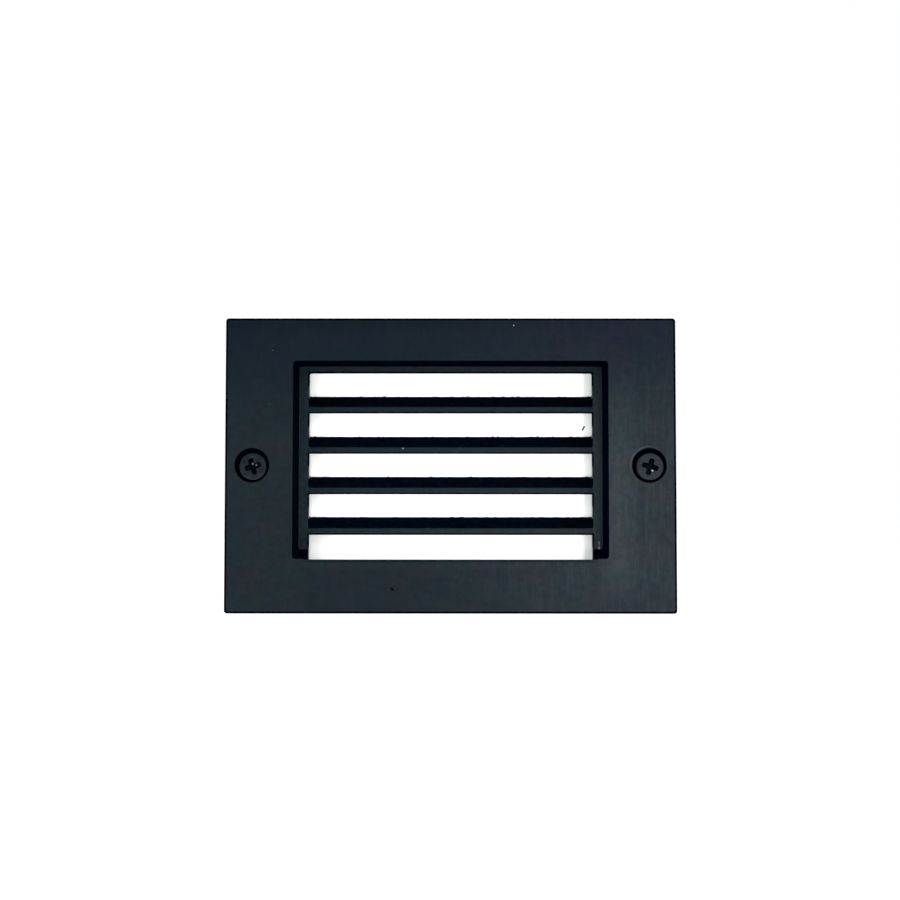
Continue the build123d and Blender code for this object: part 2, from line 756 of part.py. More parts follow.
# Ceramic bi-pin holder
with BuildPart() as lamp_holder:
    with BuildSketch(Plane.YZ.offset(holder_left)):
        with Locations((lamp_y, 0)):
            RectangleRounded(holder_width, holder_base_height, 2 * holder_edge_radius)
    extrude(amount=holder_base_length)
    with BuildSketch(Plane.YZ.offset(holder_left + holder_base_length)):
        with Locations((lamp_y, 0)):
            RectangleRounded(holder_width, holder_height, 2 * holder_edge_radius)
    extrude(amount=holder_length - holder_base_length)
    fillet(lamp_holder.faces().sort_by(Axis.X)[-1].edges(), holder_edge_radius)
    with BuildSketch(Plane.YZ.offset(holder_right)):
        with Locations((lamp_y, 0)):
            with GridLocations(0, pin_spacing, 1, 2):
                Circle(pin_radius + 2 * pin_clearance)
    extrude(amount=-contact_recess, mode=Mode.SUBTRACT)
    with BuildSketch(Plane.YZ.offset(contact_right)):
        with Locations((lamp_y, 0)):
            with GridLocations(0, pin_spacing, 1, 2):
                Circle(contact_radius + press_clearance)
    extrude(amount=holder_left - contact_right, mode=Mode.SUBTRACT)
    with BuildSketch(Plane.YZ.offset(holder_left)):
        with Locations((lamp_y, 0)):
            with GridLocations(0, holder_screw_pitch, 1, 2):
                Circle(holder_screw_radius + press_clearance)
    extrude(amount=holder_base_length, mode=Mode.SUBTRACT)
lamp_holder.part.label = "lamp_holder"
export_step(lamp_holder.part, "parts/lamp_holder.step")

with BuildPart() as holder_contacts:
    with BuildSketch(Plane.YZ.offset(contact_left)):
        with Locations((lamp_y, 0)):
            with GridLocations(0, pin_spacing, 1, 2):
                Circle(contact_radius)
                Circle(pin_radius + pin_clearance, mode=Mode.SUBTRACT)
    extrude(amount=contact_length)
holder_contacts.part.label = "holder_contacts"
export_step(holder_contacts.part, "parts/holder_contacts.step")

with BuildPart() as holder_screws:
    seat = Plane.YZ.offset(holder_left + holder_base_length)
    with BuildSketch(seat):
        with Locations((lamp_y, 0)):
            with GridLocations(0, holder_screw_pitch, 1, 2):
                Circle(holder_screw_head_radius)
    extrude(amount=holder_screw_head, taper=pan_taper)
    with BuildSketch(seat):
        with Locations((lamp_y, 0)):
            with GridLocations(0, holder_screw_pitch, 1, 2):
                Circle(holder_screw_radius)
    extrude(amount=-holder_base_length - bracket_sheet - holder_nut_height - screw_end)
    with BuildSketch(seat.offset(holder_screw_head)):
        with Locations((lamp_y, 0)):
            with GridLocations(0, holder_screw_pitch, 1, 2):
                Rectangle(2 * holder_screw_head_radius, drive_width)
    extrude(amount=-drive_depth, mode=Mode.SUBTRACT)
holder_screws.part.label = "holder_screws"
export_step(holder_screws.part, "parts/holder_screws.step")

with BuildPart() as holder_nuts:
    with BuildSketch(Plane.YZ.offset(holder_left - bracket_sheet)):
        with Locations((lamp_y, 0)):
            with GridLocations(0, holder_screw_pitch, 1, 2):
                RegularPolygon(holder_nut_flats / 2, 6, major_radius=False)
                Circle(holder_screw_radius + press_clearance, mode=Mode.SUBTRACT)
    extrude(amount=-holder_nut_height)
holder_nuts.part.label = "holder_nuts"
export_step(holder_nuts.part, "parts/holder_nuts.step")

# LED lamp with two pins, pulled out of its holder along +X
with BuildPart() as lamp_base:
    with BuildSketch(Plane.YZ.offset(lamp_left)):
        with Locations((lamp_y, 0)):
            RectangleRounded(
                2 * (lamp_radius - lamp_base_flat), 2 * lamp_radius, lamp_radius / 2
            )
    extrude(amount=lamp_base_length - lamp_collar)
    with BuildSketch(Plane.YZ.offset(board_left)):
        with Locations((lamp_y, 0)):
            Circle(lamp_radius)
    extrude(amount=lamp_collar)
    with BuildSketch(Plane.YZ.offset(board_left)):
        with Locations((lamp_y, 0)):
            Rectangle(board_thickness, board_width)
    extrude(amount=lamp_collar, mode=Mode.SUBTRACT)
    with BuildSketch(Plane.YZ.offset(lamp_left)):
        with Locations((lamp_y, 0)):
            with GridLocations(0, pin_spacing, 1, 2):
                Circle(pin_radius)
    extrude(amount=pin_root, mode=Mode.SUBTRACT)
lamp_base.part.label = "lamp_base"
export_step(lamp_base.part, "parts/lamp_base.step")

with BuildPart() as lamp_pins:
    with BuildSketch(Plane.YZ.offset(lamp_left + pin_root)):
        with Locations((lamp_y, 0)):
            with GridLocations(0, pin_spacing, 1, 2):
                Circle(pin_radius)
    extrude(amount=-pin_root - pin_length)
lamp_pins.part.label = "lamp_pins"
export_step(lamp_pins.part, "parts/lamp_pins.step")

with BuildPart() as lamp_cover:
    with BuildSketch(Plane.XY.shift_origin((cover_left, lamp_y, 0))):
        with BuildLine():
            Polyline(
                (lamp_cover_length, 0),
                (0, 0),
                (0, lamp_radius),
                (lamp_cover_length - lamp_radius, lamp_radius),
            )
            RadiusArc(
                (lamp_cover_length - lamp_radius, lamp_radius),
                (lamp_cover_length, 0),
                lamp_radius,
            )
        make_face()
    revolve(axis=Axis((0, lamp_y, 0), (1, 0, 0)))
    offset(amount=-lamp_cover_wall, openings=lamp_cover.faces().sort_by(Axis.X)[0])
lamp_cover.part.label = "lamp_cover"
export_step(lamp_cover.part, "parts/lamp_cover.step")

with BuildPart() as lamp_board:
    with BuildSketch(Plane.YZ.offset(board_left)):
        with Locations((lamp_y, 0)):
            Rectangle(board_thickness, board_width)
    extrude(amount=board_length)
lamp_board.part.label = "lamp_board"
export_step(lamp_board.part, "parts/lamp_board.step")

with BuildPart() as lamp_chips:
    chips_middle = cover_left + board_end / 2 + chip_count * chip_pitch / 2
    for side in (-1, 1):
        with BuildSketch(wall.offset(-lamp_y - side * board_thickness / 2)):
            with Locations((chips_middle, 0)):
                with GridLocations(chip_pitch, chip_width + chip_row_gap, chip_count, 2):
                    Rectangle(chip_length, chip_width)
        extrude(amount=-side * chip_height)
lamp_chips.part.label = "lamp_chips"
export_step(lamp_chips.part, "parts/lamp_chips.step")

# Terminal block: two poles joined by a narrower waist
with BuildPart() as terminal_block:
    with BuildSketch(wall.offset(-box_inner_depth)):
        with GridLocations(0, terminal_pitch, 1, 2):
            RectangleRounded(
                terminal_length, terminal_width - terminal_pitch, terminal_corner_radius
            )
        Rectangle(terminal_length - terminal_waist, terminal_pitch)
    extrude(amount=terminal_height)
    with BuildSketch(Plane.YZ):
        with Locations((terminal_y, 0)):
            with GridLocations(0, terminal_pitch, 1, 2):
                Circle(barrel_radius + barrel_clearance)
    extrude(amount=barrel_length / 2, both=True, mode=Mode.SUBTRACT)
    with BuildSketch(Plane.YZ):
        with Locations((terminal_y, 0)):
            with GridLocations(0, terminal_pitch, 1, 2):
                Circle(2 * lead_radius)
    extrude(amount=terminal_length / 2, both=True, mode=Mode.SUBTRACT)
    with BuildSketch(wall.offset(-terminal_front)):
        with GridLocations(terminal_screw_spacing, terminal_pitch, 2, 2):
            Circle(terminal_screw_radius + terminal_screw_hole_gap)
    extrude(amount=-terminal_height / 2, mode=Mode.SUBTRACT)
    with Locations(wall.offset(-terminal_front)):
        CounterBoreHole(
            terminal_fixing_radius + press_clearance,
            terminal_fixing_head_radius + terminal_screw_hole_gap,
            terminal_fixing_sink + terminal_fixing_head,
        )
terminal_block.part.label = "terminal_block"
export_step(terminal_block.part, "parts/terminal_block.step")

with BuildPart() as terminal_barrels:
    with BuildSketch(Plane.YZ):
        with Locations((terminal_y, 0)):
            with GridLocations(0, terminal_pitch, 1, 2):
                Circle(barrel_radius)
                Circle(lead_radius + barrel_bore_gap, mode=Mode.SUBTRACT)
    extrude(amount=barrel_length / 2, both=True)
    with BuildSketch(wall.offset(-terminal_y)):
        with GridLocations(terminal_screw_spacing, terminal_pitch, 2, 2):
            Circle(terminal_screw_radius + press_clearance)
    extrude(amount=barrel_radius, mode=Mode.SUBTRACT)
terminal_barrels.part.label = "terminal_barrels"
export_step(terminal_barrels.part, "parts/terminal_barrels.step")

with BuildPart() as terminal_screws:
    screw_top = terminal_front + terminal_screw_sink
    with BuildSketch(wall.offset(-screw_top)):
        with GridLocations(terminal_screw_spacing, terminal_pitch, 2, 2):
            Circle(terminal_screw_radius)
    extrude(amount=screw_top - terminal_y + lead_radius)
    with BuildSketch(wall.offset(-screw_top)):
        with GridLocations(terminal_screw_spacing, terminal_pitch, 2, 2):
            Rectangle(2 * terminal_screw_radius, drive_width)
    extrude(amount=-drive_depth, mode=Mode.SUBTRACT)
terminal_screws.part.label = "terminal_screws"
export_step(terminal_screws.part, "parts/terminal_screws.step")

with BuildPart() as terminal_fixing_screw:
    head_top = terminal_front + terminal_fixing_sink
    with BuildSketch(wall.offset(-head_top)):
        Circle(terminal_fixing_head_radius)
    extrude(amount=-terminal_fixing_head)
    with BuildSketch(wall.offset(-head_top - terminal_fixing_head)):
        Circle(terminal_fixing_radius)
    extrude(amount=head_top + terminal_fixing_head - box_depth)
    with BuildSketch(wall.offset(-head_top)):
        Rectangle(2 * drive_share * terminal_fixing_head_radius, drive_width)
        Rectangle(drive_width, 2 * drive_share * terminal_fixing_head_radius)
    extrude(amount=-drive_depth, mode=Mode.SUBTRACT)
terminal_fixing_screw.part.label = "terminal_fixing_screw"
export_step(terminal_fixing_screw.part, "parts/terminal_fixing_screw.step")

# Leads: from each contact out of the holder, back through the tray and into the terminal
with BuildPart() as lamp_leads:
    for side in (-1, 1):
        with BuildLine() as route:
            FilletPolyline(
                (contact_left, lamp_y, side * pin_spacing / 2),
                (lead_x, lamp_y, side * pin_spacing / 2),
                (lead_x, reflector_back + lead_slack, side * pin_spacing / 2),
                (lead_x + lead_slack, terminal_y, side * terminal_pitch / 2),
                (lead_slack - terminal_screw_spacing / 2, terminal_y, side * terminal_pitch / 2),
                radius=lead_bend_radius,
            )
        with BuildSketch(Plane(origin=route.line @ 0, z_dir=route.line % 0)):
            Circle(lead_radius)
        sweep(path=route.line)
lamp_leads.part.label = "lamp_leads"
export_step(lamp_leads.part, "parts/lamp_leads.step")

with BuildPart() as lead_grommet:
    with BuildSketch(wall.offset(grommet_lip - bracket_floor)):
        with Locations((lead_x, 0)):
            Circle(grommet_radius)
            Circle(grommet_bore_radius, mode=Mode.SUBTRACT)
    extrude(amount=-2 * grommet_lip - reflector_sheet)
    with BuildSketch(wall.offset(-bracket_floor)):
        with Locations((lead_x, 0)):
            Circle(grommet_radius)
            Circle(grommet_groove_radius - press_clearance, mode=Mode.SUBTRACT)
    extrude(amount=-reflector_sheet, mode=Mode.SUBTRACT)
lead_grommet.part.label = "lead_grommet"
export_step(lead_grommet.part, "parts/lead_grommet.step")

# Cable gland, from the inside outwards: nut, wall, washer, body, seal, cap
with BuildPart() as gland_nut:
    with BuildSketch(gland.offset(box_inner_depth - gland_nut_height)):
        RegularPolygon(gland_nut_flats / 2, 6, major_radius=False)
        Circle(gland_thread_radius + press_clearance, mode=Mode.SUBTRACT)
    extrude(amount=gland_nut_height)
gland_nut.part.label = "gland_nut"
export_step(gland_nut.part, "parts/gland_nut.step")

with BuildPart() as gland_washer:
    with BuildSketch(gland.offset(gland_seat)):
        Circle(gland_washer_radius)
        Circle(gland_thread_radius + press_clearance, mode=Mode.SUBTRACT)
    extrude(amount=gland_washer_thickness)
gland_washer.part.label = "gland_washer"
export_step(gland_washer.part, "parts/gland_washer.step")

with BuildPart() as gland_body:
    with BuildSketch(gland.offset(gland_inner)):
        Circle(gland_thread_radius)
    extrude(amount=stub_end - gland_inner)
    with BuildSketch(gland.offset(hex_front)):
        RegularPolygon(gland_hex_flats / 2, 6, major_radius=False)
    extrude(amount=gland_hex_height)
    with BuildSketch(gland.offset(gland_inner)):
        Circle(gland_bore_radius)
    extrude(amount=stub_end - gland_inner, mode=Mode.SUBTRACT)
gland_body.part.label = "gland_body"
export_step(gland_body.part, "parts/gland_body.step")

with BuildPart() as gland_seal:
    with BuildSketch(gland.offset(seal_end)):
        Circle(gland_bore_radius - seal_clearance)
        Circle(cable_radius + cable_clearance, mode=Mode.SUBTRACT)
    extrude(amount=-seal_length)
gland_seal.part.label = "gland_seal"
export_step(gland_seal.part, "parts/gland_seal.step")

with BuildPart() as gland_cap:
    with BuildSketch(gland.offset(cap_front)):
        Circle(cap_radius)
        with PolarLocations(cap_radius, cap_rib_count):
            Circle(cap_rib_radius)
    extrude(amount=cap_outer_end - cap_cone - cap_front)
    with BuildSketch(gland.offset(cap_outer_end - cap_cone)):
        Circle(cap_radius)
    extrude(amount=cap_cone, taper=cap_cone_taper)
    with BuildSketch(gland.offset(cap_front)):
        Circle(cap_bore_radius)
    extrude(amount=cap_inner_end - cap_front, mode=Mode.SUBTRACT)
    with BuildSketch(gland.offset(cap_inner_end)):
        Circle(cap_mouth_radius)
    extrude(amount=cap_end, mode=Mode.SUBTRACT)
gland_cap.part.label = "gland_cap"
export_step(gland_cap.part, "parts/gland_cap.step")

# Blanking plug and its sealing ring
with BuildPart() as plug_ring:
    with BuildSketch(Plane.XZ.offset(-plug_y)):
        with Locations(
            (plug_x + plug_thread_radius + press_clearance + plug_ring_radius,
             -plug_seat - plug_ring_radius)
        ):
            Circle(plug_ring_radius)
    revolve(axis=Axis((plug_x, plug_y, 0), (0, 0, 1)))
plug_ring.part.label = "plug_ring"
export_step(plug_ring.part, "parts/plug_ring.step")

with BuildPart() as blanking_plug:
    with BuildSketch(plug.offset(plug_head_front)):
        Circle(plug_head_radius)
    extrude(amount=plug_head)
    chamfer(blanking_plug.faces().sort_by(Axis.Z)[0].edges(), plug_head_chamfer)
    with BuildSketch(plug.offset(plug_head_front)):
        Circle(plug_thread_radius)
    extrude(amount=-plug_length)
    with BuildSketch(plug.offset(plug_head_front + plug_head)):
        RegularPolygon(plug_socket_flats / 2, 6, major_radius=False)
    extrude(amount=-plug_socket_depth, mode=Mode.SUBTRACT)
blanking_plug.part.label = "blanking_plug"
export_step(blanking_plug.part, "parts/blanking_plug.step")
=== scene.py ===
import bpy
import bmesh
import math
import random
from mathutils import Matrix, Vector


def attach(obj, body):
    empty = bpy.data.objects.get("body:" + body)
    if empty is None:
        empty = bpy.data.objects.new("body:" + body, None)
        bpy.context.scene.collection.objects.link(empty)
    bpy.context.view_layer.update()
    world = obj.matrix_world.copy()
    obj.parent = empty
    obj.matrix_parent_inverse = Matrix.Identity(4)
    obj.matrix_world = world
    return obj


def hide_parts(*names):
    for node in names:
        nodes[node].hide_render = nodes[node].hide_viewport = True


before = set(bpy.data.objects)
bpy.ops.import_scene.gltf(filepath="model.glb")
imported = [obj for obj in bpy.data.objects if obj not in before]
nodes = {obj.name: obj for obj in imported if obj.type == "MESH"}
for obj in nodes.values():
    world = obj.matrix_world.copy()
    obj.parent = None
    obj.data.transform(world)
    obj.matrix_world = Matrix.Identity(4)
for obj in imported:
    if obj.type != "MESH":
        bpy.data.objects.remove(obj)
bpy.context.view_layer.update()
mm = 0.001
print("stage: packed model loaded,", len(nodes), "pieces")


def feed(tree, socket, value):
    # a number or a colour is set, another node's output is linked
    if isinstance(value, (int, float, tuple)):
        socket.default_value = value
    else:
        tree.links.new(value, socket)


def addNode(tree, kind, settings=None, inputs=None):
    node = tree.nodes.new(kind)
    for key, value in (settings or {}).items():
        setattr(node, key, value)
    for key, value in (inputs or {}).items():
        feed(tree, node.inputs[key], value)
    return node


def mathNode(tree, operation, first, second=0.0, clamp=False):
    node = addNode(tree, "ShaderNodeMath", {"operation": operation, "use_clamp": clamp})
    feed(tree, node.inputs[0], first)
    feed(tree, node.inputs[1], second)
    return node.outputs[0]


def times(tree, first, *others):
    for other in others:
        first = mathNode(tree, "MULTIPLY", first, other)
    return first


def most(tree, first, *others):
    for other in others:
        first = mathNode(tree, "MAXIMUM", first, other)
    return first


def above(tree, value, limit):
    return mathNode(tree, "GREATER_THAN", value, limit)


def below(tree, value, limit):
    return mathNode(tree, "LESS_THAN", value, limit)


def offFrom(tree, value, middle):
    # how far from the middle, to either side
    return mathNode(tree, "ABSOLUTE", mathNode(tree, "SUBTRACT", value, middle))


def sumOfSquares(tree, first, second):
    return mathNode(tree, "ADD", times(tree, first, first), times(tree, second, second))


def spread(tree, value, fromLow, fromHigh, toLow=0.0, toHigh=1.0):
    # smooth change from one share to another between two levels of a value
    node = addNode(tree, "ShaderNodeMapRange", {"interpolation_type": "SMOOTHSTEP"}, {
        "Value": value, "From Min": fromLow, "From Max": fromHigh, "To Min": toLow, "To Max": toHigh})
    return node.outputs["Result"]


def mixColours(tree, factor, first, second, blend="MIX"):
    node = addNode(tree, "ShaderNodeMix", {"data_type": "RGBA", "blend_type": blend})
    for index, value in ((0, factor), (6, first), (7, second)):
        feed(tree, node.inputs[index], value)
    return node.outputs[2]


def within(tree, value, limit):
    # 1 inside the limit, fading out over a fifth of it to either side
    return spread(tree, value, limit * 1.2, limit * 0.8)


def opaque(colour):
    return (*colour, 1.0)


def axesOf(tree, kind="Object"):
    # X, Y and Z of the place on the object, or of the way that its surface faces
    where = addNode(tree, "ShaderNodeTexCoord").outputs[kind]
    return addNode(tree, "ShaderNodeSeparateXYZ", None, {0: where}).outputs


def noiseOf(tree, scale, detail, roughness):
    where = addNode(tree, "ShaderNodeTexCoord").outputs["Object"]
    noise = addNode(tree, "ShaderNodeTexNoise", None, {
        "Vector": where, "Scale": scale, "Detail": detail, "Roughness": roughness})
    return noise.outputs["Fac"]


def newGroup(name, inputs, outputs):
    group = bpy.data.node_groups.new(name, "ShaderNodeTree")
    for socketName, kind, value in inputs:
        socket = group.interface.new_socket(socketName, in_out="INPUT", socket_type=kind)
        socket.default_value = value
    for socketName, kind in outputs:
        group.interface.new_socket(socketName, in_out="OUTPUT", socket_type=kind)
    return group, addNode(group, "NodeGroupInput").outputs, addNode(group, "NodeGroupOutput").inputs


def useGroup(tree, group, inputs):
    return addNode(tree, "ShaderNodeGroup", {"node_tree": group}, inputs).outputs


# The effects below are shared by the finishes, each a node group

def makeColourDrift():
    # slow change between two colours, as in any coat or casting
    group, enter, leave = newGroup(
        "colour drift",
        [("First", "NodeSocketColor", (0.5, 0.5, 0.5, 1)), ("Second", "NodeSocketColor", (0.6, 0.6, 0.6, 1)),
         ("Scale", "NodeSocketFloat", 60.0), ("Contrast", "NodeSocketFloat", 0.2)],
        [("Colour", "NodeSocketColor"), ("Mask", "NodeSocketFloat")])
    low = mathNode(group, "SUBTRACT", 0.5, enter["Contrast"])
    high = mathNode(group, "ADD", 0.5, enter["Contrast"])
    mask = spread(group, noiseOf(group, enter["Scale"], 6.0, 0.62), low, high)
    feed(group, leave["Colour"], mixColours(group, mask, enter["First"], enter["Second"]))
    feed(group, leave["Mask"], mask)
    return group


def makeGrain():
    # two sizes of fine relief: the coat's orange peel and the cast skin under it
    group, enter, leave = newGroup(
        "fine grain",
        [("Scale", "NodeSocketFloat", 1500.0), ("Coarse Share", "NodeSocketFloat", 0.4)],
        [("Height", "NodeSocketFloat")])
    fine = noiseOf(group, enter["Scale"], 3.0, 0.55)
    coarse = noiseOf(group, times(group, enter["Scale"], 0.22), 4.0, 0.5)
    feed(group, leave["Height"], mathNode(group, "ADD", fine, times(group, coarse, enter["Coarse Share"])))
    return group


def makeStreaks():
    # brush marks: noise drawn out along one direction
    group, enter, leave = newGroup(
        "streaks",
        [("Scale", "NodeSocketVector", (2200.0, 2200.0, 25.0)), ("Low", "NodeSocketFloat", 0.45),
         ("High", "NodeSocketFloat", 0.65)],
        [("Mask", "NodeSocketFloat"), ("Height", "NodeSocketFloat")])
    where = addNode(group, "ShaderNodeTexCoord").outputs["Object"]
    stretched = addNode(group, "ShaderNodeVectorMath", {"operation": "MULTIPLY"}, {
        0: where, 1: enter["Scale"]})
    noise = addNode(group, "ShaderNodeTexNoise", None, {
        "Vector": stretched.outputs[0], "Scale": 1.0, "Detail": 5.0, "Roughness": 0.6}).outputs["Fac"]
    feed(group, leave["Mask"], spread(group, noise, enter["Low"], enter["High"]))
    feed(group, leave["Height"], noise)
    return group


def makeEdges():
    # softened edges, and where the coat thins over them
    group, enter, leave = newGroup(
        "edges",
        [("Radius", "NodeSocketFloat", 0.0003), ("Breakup", "NodeSocketFloat", 400.0)],
        [("Mask", "NodeSocketFloat"), ("Normal", "NodeSocketVector")])
    rounded = addNode(group, "ShaderNodeBevel", {"samples": 6}, {"Radius": enter["Radius"]}).outputs[0]
    surface = addNode(group, "ShaderNodeNewGeometry").outputs["Normal"]
    together = addNode(group, "ShaderNodeVectorMath", {"operation": "DOT_PRODUCT"}, {0: rounded, 1: surface})
    turned = spread(group, together.outputs["Value"], 0.995, 0.8)
    broken = spread(group, noiseOf(group, enter["Breakup"], 5.0, 0.7), 0.35, 0.62)
    feed(group, leave["Mask"], times(group, turned, broken))
    feed(group, leave["Normal"], rounded)
    return group


def makeDust():
    # fine dust lying on what faces up, thin elsewhere
    group, enter, leave = newGroup(
        "dust",
        [("Amount", "NodeSocketFloat", 0.3), ("Scale", "NodeSocketFloat", 900.0)],
        [("Mask", "NodeSocketFloat")])
    upward = spread(group, axesOf(group, "Normal")["Z"], -0.2, 1.0, 0.12, 1.0)
    grains = spread(group, noiseOf(group, enter["Scale"], 8.0, 0.75), 0.5, 0.75)
    feed(group, leave["Mask"], times(group, upward, grains, enter["Amount"]))
    return group


def makeSpecks():
    # scattered small marks of uneven size
    group, enter, leave = newGroup(
        "specks",
        [("Scale", "NodeSocketFloat", 300.0), ("Size", "NodeSocketFloat", 0.1),
         ("Share", "NodeSocketFloat", 0.3)],
        [("Mask", "NodeSocketFloat")])
    where = addNode(group, "ShaderNodeTexCoord").outputs["Object"]
    cells = addNode(group, "ShaderNodeTexVoronoi", {"feature": "F1"}, {
        "Vector": where, "Scale": enter["Scale"]})
    split = addNode(group, "ShaderNodeSeparateColor", None, {0: cells.outputs["Color"]})
    near = below(group, cells.outputs["Distance"], enter["Size"])
    feed(group, leave["Mask"], times(group, near, below(group, split.outputs[0], enter["Share"])))
    return group


effects = {
    "drift": makeColourDrift(),
    "grain": makeGrain(),
    "streaks": makeStreaks(),
    "edges": makeEdges(),
    "dust": makeDust(),
    "specks": makeSpecks(),
}
print("stage: shared effects built")


def driftMask(tree, scale, contrast):
    return useGroup(tree, effects["drift"], {"Scale": scale, "Contrast": contrast})["Mask"]


plainLook = {
    "colour": (0.5, 0.5, 0.5), "secondColour": (0.6, 0.6, 0.6), "driftScale": 60.0, "driftContrast": 0.2,
    "grainScale": 1500.0, "coarseShare": 0.4, "grainStrength": 0.4, "grainDepth": 0.00003,
    "grainLevels": (0.45, 0.95), "roughness": (0.35, 0.5), "metallic": 0.0, "specular": 0.5,
    "edgeRadius": 0.0002, "edgeBreakup": 400.0, "edgeWear": 0.3, "edgeColour": (0.6, 0.6, 0.6),
    "dust": 0.15, "dustScale": 900.0, "dustColour": (0.35, 0.33, 0.3), "dustRoughness": 0.35,
}


def lookOf(**changes):
    return {**plainLook, **changes}


def startFinish(name, look):
    # every finish starts here: drift of colour, grain, worn edges, dust
    material = bpy.data.materials.new(name)
    material.use_nodes = True
    tree = material.node_tree
    shader = tree.nodes["Principled BSDF"]
    drift = useGroup(tree, effects["drift"], {
        "First": opaque(look["colour"]), "Second": opaque(look["secondColour"]),
        "Scale": look["driftScale"], "Contrast": look["driftContrast"]})
    grain = useGroup(tree, effects["grain"], {
        "Scale": look["grainScale"], "Coarse Share": look["coarseShare"]})
    edges = useGroup(tree, effects["edges"], {"Radius": look["edgeRadius"], "Breakup": look["edgeBreakup"]})
    dust = useGroup(tree, effects["dust"], {"Amount": look["dust"], "Scale": look["dustScale"]})["Mask"]
    worn = times(tree, edges["Mask"], look["edgeWear"])
    colour = mixColours(tree, worn, drift["Colour"], opaque(look["edgeColour"]))
    colour = mixColours(tree, dust, colour, opaque(look["dustColour"]))
    rough = spread(tree, grain["Height"], *look["grainLevels"], *look["roughness"])
    rough = mathNode(tree, "ADD", rough, times(tree, dust, look["dustRoughness"]), clamp=True)
    bump = addNode(tree, "ShaderNodeBump", None, {
        "Strength": look["grainStrength"], "Distance": look["grainDepth"],
        "Height": grain["Height"], "Normal": edges["Normal"]}).outputs[0]
    feed(tree, shader.inputs["Base Color"], colour)
    feed(tree, shader.inputs["Roughness"], rough)
    feed(tree, shader.inputs["Normal"], bump)
    shader.inputs["Metallic"].default_value = look["metallic"]
    shader.inputs["Specular IOR Level"].default_value = look["specular"]
    return material, tree, shader, {
        "colour": colour, "rough": rough, "bump": bump, "worn": worn, "edges": edges["Mask"]}


def plainFinish(name, look):
    return startFinish(name, look)[0]


def layOver(tree, shader, colour, mask, tone, amount):
    # lays one more tone over the colour where the mask says
    mixed = mixColours(tree, times(tree, mask, amount), colour, opaque(tone))
    feed(tree, shader.inputs["Base Color"], mixed)
    return mixed


def laySpecks(tree, shader, colour, specks):
    mask = useGroup(tree, effects["specks"], {
        "Scale": specks["scale"], "Size": specks["size"], "Share": specks["share"]})["Mask"]
    return layOver(tree, shader, colour, mask, specks["tone"], specks["amount"])


def fromSpot(tree, position, spot):
    # distance across the front from a place in mm
    flat = addNode(tree, "ShaderNodeCombineXYZ", None, {"X": position["X"], "Z": position["Z"]}).outputs[0]
    apart = addNode(tree, "ShaderNodeVectorMath", {"operation": "DISTANCE"}, {
        0: flat, 1: (spot[0] * mm, 0.0, spot[1] * mm)})
    return apart.outputs["Value"]


